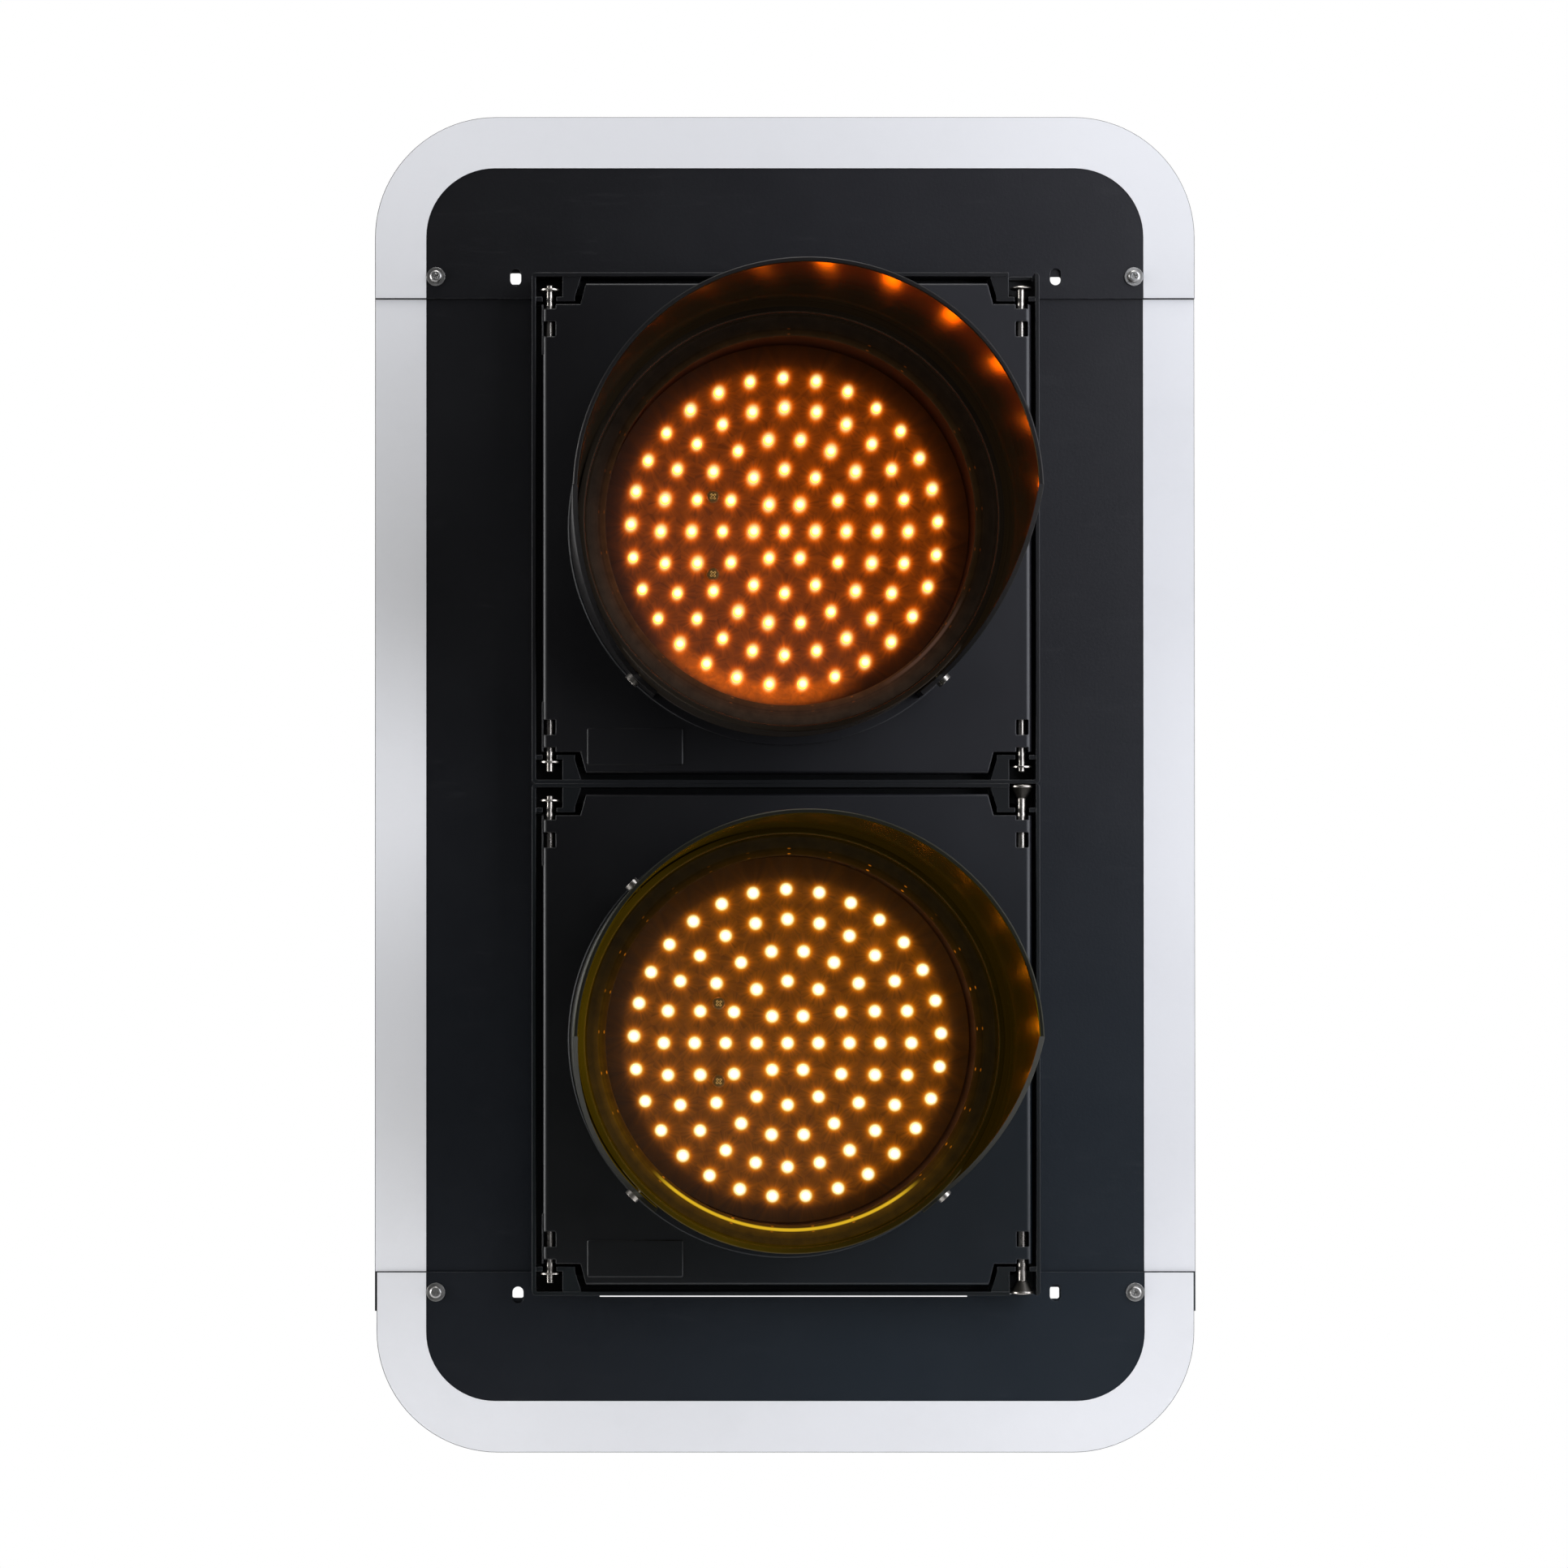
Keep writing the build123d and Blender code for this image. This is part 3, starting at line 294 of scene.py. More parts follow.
def sheet_paint(name):
    """Matt powder coat on aluminium sheet: orange peel, faint handling marks and a little dust; its tone is painted
    lighter to the right as side light.
    """
    mat, n = material(name)
    p = n.point()
    z = n.add("ShaderNodeSeparateXYZ", None, {"Vector": p}).outputs["Z"]
    # painted side light: the base is lighter to the right; the lower part has its own, bluer tones
    across = n.span(n.add("ShaderNodeSeparateXYZ", None, {"Vector": p}).outputs["X"], -0.17, 0.08)
    base = n.mix(
        n.span(z, 0.02, 0.40),
        n.mix(across, (0.0026, 0.0044, 0.0078), (0.0060, 0.0115, 0.0180)),
        n.mix(across, (0.0022, 0.0022, 0.0034), (0.0078, 0.0078, 0.0110)),
    )
    cloud = n.noise(p, 6.0, 5.0, 0.6, 0.3)
    base = n.mix(n.math("MULTIPLY", cloud, 0.25), base, (0.003, 0.003, 0.004))
    specks = n.span(n.noise(p, 1300.0, 2.0, 0.75), 0.70, 0.78)
    base = n.mix(n.math("MULTIPLY", specks, 0.12), base, (0.12, 0.125, 0.14))
    rounded = n.bevel(0.0004)
    rub = n.span(n.edge(rounded), 0.03, 0.22)
    patchy = n.span(n.noise(p, 80.0, 4.0, 0.6), 0.42, 0.64)
    base = n.mix(n.math("MULTIPLY", n.math("MULTIPLY", rub, patchy), 0.5), base, (0.10, 0.10, 0.105))
    rough = n.math("MULTIPLY_ADD", n.noise(p, 14.0, 4.0, 0.6), 0.10, 0.33)
    wipe = n.span(n.noise(n.point((3.0, 1.0, 30.0)), 9.0, 4.0, 0.7, 0.5), 0.58, 0.72)
    rough = n.math("MULTIPLY_ADD", wipe, 0.06, rough)
    peel = n.math(
        "MULTIPLY_ADD", n.noise(p, 2600.0, 1.0, 0.5), 0.35, n.noise(p, 750.0, 2.0, 0.5)
    )
    normal = n.bump(peel, 0.6, 0.00006, rounded)
    shader = n.add(
        "ShaderNodeBsdfPrincipled",
        None,
        {"Base Color": base, "Roughness": rough, "Specular IOR Level": 0.5, "Normal": normal},
    )
    n.finish(shader.outputs[0])
    return mat


def border_film(name, marks, clean):
    """White reflective sheeting: sealed cells a few tenths of a millimetre across under a clear skin, slightly aged.
    marks is a list of (height in metres, brightness) up the strip: this brightness is painted light and shade."""
    mat, n = material(name)
    p = n.point()
    z = n.add("ShaderNodeSeparateXYZ", None, {"Vector": p}).outputs["Z"]
    low, high = marks[0][0], marks[-1][0]
    place = n.math("MULTIPLY_ADD", z, 1.0 / (high - low), -low / (high - low), clamp=True)
    wander = n.math("MULTIPLY_ADD", n.noise(p, 5.0, 3.0, 0.5), 0.06, -0.03)
    stops = [
        ((h - low) / (high - low), tuple(c * b for c in clean)) for h, b in marks
    ]
    # painted light and shade up the strip
    base = n.ramp(n.math("ADD", place, wander), stops, "EASE")
    cloud = n.noise(p, 30.0, 5.0, 0.65)
    base = n.mix(n.math("MULTIPLY", n.span(cloud, 0.45, 0.8), 0.06), base, (0.52, 0.53, 0.52))
    dirt = n.span(n.noise(p, 420.0, 3.0, 0.75), 0.69, 0.80)
    base = n.mix(n.math("MULTIPLY", dirt, 0.10), base, (0.30, 0.29, 0.27))
    beads = n.cells(p, 3200.0)
    cellwall = n.cells(p, 420.0, "DISTANCE_TO_EDGE")
    wall = n.span(cellwall, 0.0, 0.06, 0.0, 1.0)
    base = n.mix(n.math("MULTIPLY_ADD", wall, -0.03, 0.03), base, (0.66, 0.68, 0.72))
    rough = n.math("MULTIPLY_ADD", n.noise(p, 25.0, 3.0, 0.6), 0.12, 0.34)
    relief = n.math("MULTIPLY_ADD", beads, 0.25, wall)
    normal = n.bump(relief, 0.25, 0.00002)
    normal = n.bump(n.noise(p, 10.0, 2.0, 0.5), 0.3, 0.0006, normal)
    shader = n.add(
        "ShaderNodeBsdfPrincipled",
        None,
        {
            "Base Color": base,
            "Roughness": rough,
            "Specular IOR Level": 0.35,
            "Coat Weight": 0.15,
            "Coat Roughness": 0.2,
            "Normal": normal,
        },
    )
    n.finish(shader.outputs[0])
    return mat


def metal(
    name, colour, rough=0.28, stretch=(60.0, 60.0, 4.0), dull=0.35, dull_colour=None, radius=0.00025, head=None, lit=None
):
    """Turned or rolled metal: fine tool lines along or round it, smudges and dull patches.
    The head band (middle height, start, stop) is the part of a headed pin darkened as painted shade."""
    mat, n = material(name)
    p = n.point()
    lines = n.noise(n.vmath("MULTIPLY", p, stretch), 55.0, 4.0, 0.7)
    smudge = n.span(n.noise(p, 220.0, 4.0, 0.6, 0.4), 0.40, 0.72)
    base = n.mix(n.math("MULTIPLY", lines, 0.22), colour, tuple(c * 0.55 for c in colour))
    base = n.mix(
        n.math("MULTIPLY", smudge, dull), base, dull_colour or tuple(c * 0.45 for c in colour)
    )
    gloss = n.math("MULTIPLY_ADD", smudge, 0.16, n.math("MULTIPLY_ADD", lines, 0.12, rough - 0.06))
    if head is not None:
        # painted shade: the band on the pin's head darkened
        z = n.add("ShaderNodeSeparateXYZ", None, {"Vector": p}).outputs["Z"]
        up = n.math("ABSOLUTE", n.math("SUBTRACT", z, head[0]))
        dark = n.math(
            "MULTIPLY",
            n.span(up, head[1], head[1] + 0.0002),
            n.span(up, head[2] - 0.0002, head[2], 1.0, 0.0),
        )
        base = n.mix(n.math("MULTIPLY", dark, 0.93), base, (0.020, 0.018, 0.015))
        gloss = n.math("MULTIPLY_ADD", dark, 0.14, gloss)
    rounded = n.bevel(radius)
    normal = n.bump(lines, 0.3, 0.00001, rounded)
    shader = n.add(
        "ShaderNodeBsdfPrincipled",
        None,
        {"Base Color": base, "Roughness": gloss, "Metallic": 1.0, "Normal": normal},
    )
    if lit is not None:
        # diode light caught on the rim and the edges of the recess
        edge = n.span(n.edge(n.bevel(0.0007)), 0.02, 0.30, 0.06, 1.0)
        n.put(shader.inputs["Emission Color"], n.vmath("SCALE", lit, scale=edge))
        n.put(shader.inputs["Emission Strength"], 1.0)
    n.finish(shader.outputs[0])
    return mat


def zinc(name):
    """Zinc-plated steel: soft spangle, patches of white bloom, brighter edges."""
    mat, n = material(name)
    p = n.point()
    grains = n.cells(p, 330.0, "F1", "Color")
    tone = n.add("ShaderNodeSeparateXYZ", None, {"Vector": grains}).outputs["X"]
    base = n.mix(tone, (0.30, 0.305, 0.315), (0.47, 0.475, 0.485))
    bloom = n.span(n.noise(p, 120.0, 5.0, 0.7, 0.3), 0.52, 0.75)
    base = n.mix(n.math("MULTIPLY", bloom, 0.5), base, (0.55, 0.56, 0.57))
    rounded = n.bevel(0.0003)
    edge = n.span(n.edge(rounded), 0.03, 0.2)
    base = n.mix(n.math("MULTIPLY", edge, 0.5), base, (0.72, 0.72, 0.73))
    gloss = n.math("MULTIPLY_ADD", bloom, 0.25, n.math("MULTIPLY_ADD", tone, 0.10, 0.30))
    metallic = n.math("MULTIPLY_ADD", bloom, -0.35, 1.0)
    normal = n.bump(n.noise(p, 900.0, 3.0, 0.6), 0.35, 0.00002, rounded)
    shader = n.add(
        "ShaderNodeBsdfPrincipled",
        None,
        {"Base Color": base, "Roughness": gloss, "Metallic": metallic, "Normal": normal},
    )
    n.finish(shader.outputs[0])
    return mat


def rubber(name):
    """Extruded sealing rubber: matt, with drag lines and chalky bloom."""
    mat, n = material(name)
    p = n.point()
    bloom = n.span(n.noise(p, 70.0, 5.0, 0.65), 0.42, 0.75)
    base = n.mix(n.math("MULTIPLY", bloom, 0.35), (0.009, 0.009, 0.010), (0.045, 0.045, 0.047))
    drag = n.noise(n.point((8.0, 1.0, 1.0)), 300.0, 2.0, 0.5)
    normal = n.bump(n.math("ADD", drag, n.noise(p, 1400.0, 2.0)), 0.4, 0.00004)
    shader = n.add(
        "ShaderNodeBsdfPrincipled",
        None,
        {
            "Base Color": base,
            "Roughness": n.math("MULTIPLY_ADD", bloom, 0.12, 0.68),
            "Specular IOR Level": 0.35,
            "Normal": normal,
        },
    )
    n.finish(shader.outputs[0])
    return mat


def circuit_board(name):
    """Solder mask over copper: tracks as slightly lighter, raised runs."""
    mat, n = material(name)
    p = n.point()
    brick = n.add(
        "ShaderNodeTexBrick",
        {"offset": 0.5, "squash": 1.0},
        {
            "Vector": n.add(
                "ShaderNodeCombineXYZ",
                None,
                {
                    "X": n.add("ShaderNodeSeparateXYZ", None, {"Vector": p}).outputs["X"],
                    "Y": n.add("ShaderNodeSeparateXYZ", None, {"Vector": p}).outputs["Z"],
                },
            ).outputs[0],
            "Scale": 160.0,
            "Mortar Size": 0.06,
            "Color1": (0.0, 0.0, 0.0, 1.0),
            "Color2": (0.0, 0.0, 0.0, 1.0),
            "Mortar": (1.0, 1.0, 1.0, 1.0),
        },
    )
    track = brick.outputs["Fac"]
    base = n.mix(track, (0.006, 0.045, 0.020), (0.014, 0.095, 0.040))
    base = n.mix(n.math("MULTIPLY", n.noise(p, 90.0, 3.0), 0.25), base, (0.004, 0.02, 0.01))
    normal = n.bump(n.math("MULTIPLY_ADD", track, 1.0, n.noise(p, 2000.0, 2.0)), 0.4, 0.00004)
    shader = n.add(
        "ShaderNodeBsdfPrincipled",
        None,
        {
            "Base Color": base,
            "Roughness": n.math("MULTIPLY_ADD", n.noise(p, 60.0), 0.14, 0.30),
            "Normal": normal,
        },
    )
    n.finish(shader.outputs[0])
    return mat


def nearest_led():
    """Node group: the offset in mm from the nearest diode, and that diode's own number, for a point in mm from the lamp's centre."""
    tree = bpy.data.node_groups.new("nearest_led", "ShaderNodeTree")
    tree.interface.new_socket("Point", in_out="INPUT", socket_type="NodeSocketVector")
    tree.interface.new_socket("Offset", in_out="OUTPUT", socket_type="NodeSocketVector")
    tree.interface.new_socket("Number", in_out="OUTPUT", socket_type="NodeSocketFloat")
    n = Net(tree)
    p = n.add("NodeGroupInput").outputs["Point"]
    parts = n.add("ShaderNodeSeparateXYZ", None, {"Vector": p})
    angle = n.math("ARCTAN2", parts.outputs["X"], parts.outputs["Z"])
    best, near, number = p, n.vmath("LENGTH", p), 0.0
    for i, (radius, count, start) in enumerate(RINGS[1:], 1):
        step, first = 2 * math.pi / count, math.radians(start)
        k = n.math("ROUND", n.math("MULTIPLY_ADD", angle, 1 / step, -first / step))
        turn = n.math("MULTIPLY_ADD", k, step, first)
        at = n.add(
            "ShaderNodeCombineXYZ",
            None,
            {
                "X": n.math("MULTIPLY", n.math("SINE", turn), radius),
                "Z": n.math("MULTIPLY", n.math("COSINE", turn), radius),
            },
        ).outputs[0]
        off = n.vmath("SUBTRACT", p, at)
        far = n.vmath("LENGTH", off)
        closer = n.math("LESS_THAN", far, near)
        pick = n.add("ShaderNodeMix", {"data_type": "VECTOR"}, {"Factor": closer})
        vectors = [s for s in pick.inputs if s.type == "VECTOR" and s.name in ("A", "B")]
        n.put(vectors[0], best)
        n.put(vectors[1], off)
        best = [s for s in pick.outputs if s.type == "VECTOR"][0]
        near = n.math("MINIMUM", near, far)
        mine = n.math("MULTIPLY_ADD", k, 1.0, 40.0 * i)
        choose = n.add("ShaderNodeMix", {"data_type": "FLOAT"}, {"Factor": closer})
        floats = [s for s in choose.inputs if s.type == "VALUE" and s.name in ("A", "B")]
        n.put(floats[0], number)
        n.put(floats[1], mine)
        number = [s for s in choose.outputs if s.type == "VALUE"][0]
    out = n.add("NodeGroupOutput")
    n.put(out.inputs["Offset"], best)
    n.put(out.inputs["Number"], number)
    return tree


FIELD = nearest_led()

# colour of the light against distance from a diode's centre, in mm
GLOW = {
    "upper": (
        (0.0, (0.94, 0.95, 0.90)),
        (1.3, (0.96, 0.955, 0.78)),
        (1.75, (0.97, 0.94, 0.66)),
        (2.2, (0.985, 0.87, 0.50)),
        (2.6, (0.99, 0.73, 0.33)),
        (3.05, (0.985, 0.53, 0.18)),
        (3.5, (0.94, 0.355, 0.080)),
        (3.9, (0.83, 0.21, 0.025)),
        (4.35, (0.68, 0.122, 0.004)),
        (4.8, (0.53, 0.082, 0.001)),
        (5.25, (0.41, 0.061, 0.0004)),
        (5.7, (0.32, 0.048, 0.0004)),
        (6.55, (0.22, 0.035, 0.0004)),
        (7.4, (0.18, 0.030, 0.0004)),
        (8.3, (0.160, 0.027, 0.0005)),
        (10.0, (0.145, 0.025, 0.0005)),
    ),
    "lower": (
        (0.0, (0.98, 0.98, 0.97)),
        (2.2, (0.99, 0.97, 0.93)),
        (2.6, (0.996, 0.96, 0.76)),
        (3.05, (0.99, 0.78, 0.39)),
        (3.5, (0.83, 0.415, 0.074)),
        (3.9, (0.62, 0.207, 0.004)),
        (4.35, (0.507, 0.132, 0.0005)),
        (4.8, (0.392, 0.092, 0.0004)),
        (5.25, (0.295, 0.069, 0.0005)),
        (5.7, (0.237, 0.057, 0.0005)),
        (6.55, (0.175, 0.044, 0.0004)),
        (7.4, (0.146, 0.037, 0.0004)),
        (8.3, (0.130, 0.034, 0.0004)),
        (10.0, (0.120, 0.031, 0.0004)),
    ),
}


def led_light(n, side):
    """Colour of the diodes' light at a point on or round them, and the distance from the nearest in mm."""
    x, z = (a + b for a, b in zip(LAMPS[side], PATTERN[side]))
    at = n.vmath("SCALE", n.vmath("SUBTRACT", n.point(), (x, 0.0, z)), scale=1000.0)
    at = n.vmath("MULTIPLY", at, (1.0, 0.0, 1.0))
    field = n.add("ShaderNodeGroup", {"node_tree": FIELD}, {"Point": at})
    off, number = field.outputs["Offset"], field.outputs["Number"]
    dice = n.add("ShaderNodeTexWhiteNoise", {"noise_dimensions": "1D"}, {"W": number})
    luck = dice.outputs["Value"]
    if side == "upper":
        lean = math.radians(17.0)
        along = n.vmath("DOT_PRODUCT", off, (math.sin(lean), 0.0, math.cos(lean)))
        across = n.vmath("DOT_PRODUCT", off, (math.cos(lean), 0.0, -math.sin(lean)))
        far = n.math(
            "SQRT",
            n.math(
                "ADD",
                n.math("POWER", n.math("ABSOLUTE", n.math("MULTIPLY", along, 0.90)), 2.0),
                n.math("POWER", n.math("ABSOLUTE", n.math("MULTIPLY", across, 1.10)), 2.0),
            ),
        )
        far = n.math("MULTIPLY", far, n.math("MULTIPLY_ADD", luck, 0.14, 0.93))
    else:
        far = n.vmath("LENGTH", off)
        far = n.math("MULTIPLY", far, n.math("MULTIPLY_ADD", luck, 0.04, 0.98))
    colour = n.ramp(n.math("DIVIDE", far, 10.0, clamp=True), [(d / 10.0, c) for d, c in GLOW[side]])
    # rays thrown outward from each diode by the moulded lens
    ray = n.vmath("SCALE", n.vmath("NORMALIZE", off), scale=2.4)
    ray = n.vmath("ADD", ray, n.add("ShaderNodeCombineXYZ", None, {"Y": number}).outputs[0])
    streak = n.noise(ray, 1.9, 3.0, 0.7)
    streak = n.span(streak, 0.30, 0.72, 0.60, 1.45, "LINEAR")
    reach = n.span(far, 3.4, 6.0)
    streak = n.add("ShaderNodeMix", {"data_type": "FLOAT"}, {0: reach, 2: 1.0, 3: streak}).outputs[0]
    cloud = n.span(n.noise(at, 0.05, 3.0, 0.6), 0.3, 0.7, 0.86, 1.14, "LINEAR")
    rim = n.ramp(
        n.math("DIVIDE", n.vmath("LENGTH", at), 110.0, clamp=True),
        [
            (0.0, (1.12, 1.12, 1.12)),
            (60 / 110, (1.0, 1.0, 1.0)),
            (81 / 110, (0.95, 0.95, 0.95)),
            (86.5 / 110, (0.72, 0.72, 0.72)),
            (90 / 110, (0.29, 0.30, 0.26)),
            (94 / 110, (0.15, 0.17, 0.14) if side == "upper" else (0.19, 0.21, 0.14)),
            (99 / 110, (0.08, 0.10, 0.07) if side == "upper" else (0.15, 0.17, 0.07)),
            (1.0, (0.04, 0.05, 0.03)),
        ],
    )
    inner = n.span(far, 2.6, 4.2)
    scale = n.vmath("SCALE", rim, scale=n.math("MULTIPLY", streak, cloud))
    scale = n.mix(inner, (1.0, 1.0, 1.0), scale)
    light = n.mix(1.0, colour, scale, "MULTIPLY")
    if side == "upper":
        # light caught under the lowest diodes
        parts = n.add("ShaderNodeSeparateXYZ", None, {"Vector": at})
        turn = n.math("ARCTAN2", parts.outputs["X"], parts.outputs["Z"])
        low = n.span(n.math("COSINE", n.math("SUBTRACT", turn, math.radians(192.0))), 0.76, 0.98)
        band = n.math("ABSOLUTE", n.math("ADD", n.vmath("LENGTH", at), -87.5))
        low = n.math("MULTIPLY", low, n.span(band, 1.5, 8.5, 1.0, 0.0))
        low = n.math("MULTIPLY", low, n.span(n.noise(at, 0.16, 4.0, 0.7, 0.8), 0.3, 0.7, 0.45, 1.3, "LINEAR"))
        light = n.vmath("ADD", light, n.vmath("SCALE", (0.42, 0.070, 0.0006), scale=low))
    return light, far


def led_plate(name, side):
    """Dark moulded plate the diodes stand through, washed by their light."""
    mat, n = material(name)
    p = n.point()
    light, far = led_light(n, side)
    base = n.mix(n.noise(p, 40.0, 3.0), (0.0012, 0.0009, 0.0006), (0.0026, 0.0018, 0.0010))
    normal = n.bump(n.noise(p, 1500.0, 2.0), 0.5, 0.00003)
    plastic = n.add(
        "ShaderNodeBsdfPrincipled",
        None,
        {
            "Base Color": base,
            "Roughness": n.math("MULTIPLY_ADD", n.noise(p, 80.0), 0.14, 0.45),
            "Normal": normal,
            "Emission Color": light,
            "Emission Strength": 1.0,
        },
    )
    n.finish(plastic.outputs[0])
    return mat


def led_dome(name, side, power):
    """Lit epoxy dome: white-hot at its centre, orange to its edge."""
    mat, n = material(name)
    x, z = (a + b for a, b in zip(LAMPS[side], PATTERN[side]))
    at = n.vmath("SCALE", n.vmath("SUBTRACT", n.point(), (x, 0.0, z)), scale=1000.0)
    at = n.vmath("MULTIPLY", at, (1.0, 0.0, 1.0))
    field = n.add("ShaderNodeGroup", {"node_tree": FIELD}, {"Point": at})
    off = field.outputs["Offset"]
    far = n.math("DIVIDE", n.vmath("LENGTH", off), 4.0, clamp=True)
    if side == "upper":
        stops = [
            (0.0, (1.0, 0.300, 0.098)),
            (1.3 / 4, (1.0, 0.280, 0.092)),
            (1.7 / 4, (1.0, 0.230, 0.068)),
            (2.1 / 4, (0.95, 0.160, 0.030)),
            (2.4 / 4, (0.9, 0.130, 0.010)),
            (2.6 / 4, (0.8, 0.110, 0.003)),
            (3.0 / 4, (0.6, 0.080, 0.002)),
        ]
    else:
        stops = [
            (0.0, (1.0, 0.360, 0.125)),
            (1.9 / 4, (1.0, 0.340, 0.115)),
            (2.2 / 4, (1.0, 0.300, 0.090)),
            (2.5 / 4, (0.9, 0.240, 0.040)),
            (2.7 / 4, (0.8, 0.180, 0.008)),
            (3.0 / 4, (0.6, 0.130, 0.003)),
        ]
    shader = n.add(
        "ShaderNodeBsdfPrincipled",
        None,
        {
            "Base Color": n.mix(n.noise(n.point(), 700.0, 2.0), (0.35, 0.10, 0.012), (0.48, 0.17, 0.03)),
            "Roughness": n.math("MULTIPLY_ADD", n.noise(n.point(), 300.0), 0.08, 0.10),
            "Emission Color": n.ramp(far, stops),
            "Emission Strength": power,
        },
    )
    n.finish(shader.outputs[0])
    return mat


def lit_bezel(name, side, dim, bright, glint, arc):
    """Satin black ring that clamps the lens: turned marks, the diodes' wash and their glints on the lip.
    dim and bright give the wash against radius on the shaded and the lit side; arc is the long glint."""
    mat, n = material(name)
    p = n.point()
    x, z = LAMPS[side]
    at = n.vmath("SCALE", n.vmath("SUBTRACT", p, (x, 0.0, z)), scale=1000.0)
    at = n.vmath("MULTIPLY", at, (1.0, 0.0, 1.0))
    parts = n.add("ShaderNodeSeparateXYZ", None, {"Vector": at})
    far = n.vmath("LENGTH", at)
    angle = n.math("ARCTAN2", parts.outputs["X"], parts.outputs["Z"])
    place = n.math("MULTIPLY_ADD", far, 1.0 / 12.0, -97.0 / 12.0, clamp=True)
    low = n.ramp(place, [((r - 97.0) / 12.0, c) for r, c in dim])
    high = n.ramp(place, [((r - 97.0) / 12.0, c) for r, c in bright])
    lean = n.math("COSINE", n.math("ADD", angle, math.radians(155.0)))
    wash = n.mix(n.span(lean, -0.25, 0.85), low, high)
    turned = n.noise(n.add("ShaderNodeCombineXYZ", None, {"X": far}).outputs[0], 1.3, 3.0, 0.6)
    patch = n.noise(at, 0.11, 4.0, 0.65)
    uneven = n.math(
        "MULTIPLY",
        n.span(turned, 0.3, 0.7, 0.74, 1.30, "LINEAR"),
        n.span(patch, 0.3, 0.7, 0.70, 1.35, "LINEAR"),
    )
    wash = n.vmath("SCALE", wash, scale=uneven)
    # a pair of glints for each diode of the outer ring
    step, first = 2 * math.pi / 29, math.radians(-0.5)
    k = n.math("ROUND", n.math("MULTIPLY_ADD", angle, 1 / step, -first / step))
    round_ = n.math("SUBTRACT", angle, n.math("MULTIPLY_ADD", k, step, first))
    luck = n.add("ShaderNodeTexWhiteNoise", {"noise_dimensions": "1D"}, {"W": k}).outputs["Value"]
    sparkle = 0.0
    for radius, strength in ((98.7, 1.0), (101.5, 0.6)):
        spot = n.add(
            "ShaderNodeCombineXYZ",
            None,
            {
                "X": n.math("MULTIPLY", round_, 110.0),
                "Y": n.math("MULTIPLY_ADD", far, 3.0, -3.0 * radius),
            },
        ).outputs[0]
        mark = n.span(n.vmath("LENGTH", spot), 0.5, 1.3, strength, 0.0)
        sparkle = n.math("MAXIMUM", sparkle, mark)
    sparkle = n.math("MULTIPLY", sparkle, n.span(luck, 0.15, 0.9, 0.1, 1.0, "LINEAR"))
    wash = n.vmath("ADD", wash, n.vmath("SCALE", glint, scale=sparkle))
    radius, middle, limit, colour = arc
    reach = n.math("COSINE", n.math("SUBTRACT", angle, math.radians(middle)))
    band = n.math("ABSOLUTE", n.math("SUBTRACT", far, radius))
    streak = n.math("MULTIPLY", n.span(reach, limit, limit + 0.12), n.span(band, 0.35, 1.2, 1.0, 0.0))
    wash = n.vmath("ADD", wash, n.vmath("SCALE", colour, scale=streak))
    rounded = n.bevel(0.0004)
    normal = n.bump(n.math("MULTIPLY_ADD", turned, 0.6, n.noise(p, 1400.0, 2.0)), 0.4, 0.00003, rounded)
    plastic = n.add(
        "ShaderNodeBsdfPrincipled",
        None,
        {
            "Base Color": n.mix(n.noise(p, 60.0, 3.0), (0.0016, 0.0014, 0.0012), (0.0034, 0.0028, 0.0022)),
            "Roughness": n.math("MULTIPLY_ADD", n.noise(p, 90.0), 0.14, 0.56),
            "Specular IOR Level": 0.05,
            "Normal": normal,
            "Emission Color": wash,
            "Emission Strength": 1.0,
        },
    )
    n.finish(plastic.outputs[0])
    return mat


def clear_lens(name, tint):
    """Clear hard-coated lens: a skin reflection over an almost invisible body, with fine dust and wiping marks."""
    mat, n = material(name)
    p = n.point()
    wipe = n.noise(n.point((1.0, 1.0, 5.0)), 60.0, 5.0, 0.7, 0.6)
    dust = n.span(n.noise(p, 800.0, 2.0, 0.8), 0.70, 0.82)
    rounded = n.bevel(0.0006)
    normal = n.bump(n.noise(p, 22.0, 3.0, 0.5), 0.12, 0.0003, rounded)
    gloss = n.add(
        "ShaderNodeBsdfGlossy",
        None,
        {
            "Color": (1.0, 1.0, 1.0),
            "Roughness": n.math("MULTIPLY_ADD", n.span(wipe, 0.4, 0.75), 0.07, 0.04),
            "Normal": normal,
        },
    )
    through = n.add(
        "ShaderNodeBsdfTransparent",
        None,
        {"Color": n.mix(n.math("MULTIPLY", dust, 0.18), tint, (0.55, 0.55, 0.55))},
    )
    back = n.add("ShaderNodeNewGeometry").outputs["Backfacing"]
    skin = n.add("ShaderNodeFresnel", None, {"IOR": 1.49, "Normal": normal}).outputs[0]
    skin = n.math("MULTIPLY", n.math("MULTIPLY", skin, 0.18), n.math("SUBTRACT", 1.0, back))
    both = n.add("ShaderNodeMixShader", None, {0: skin, 1: through.outputs[0], 2: gloss.outputs[0]})
    n.finish(both.outputs[0])
    return mat


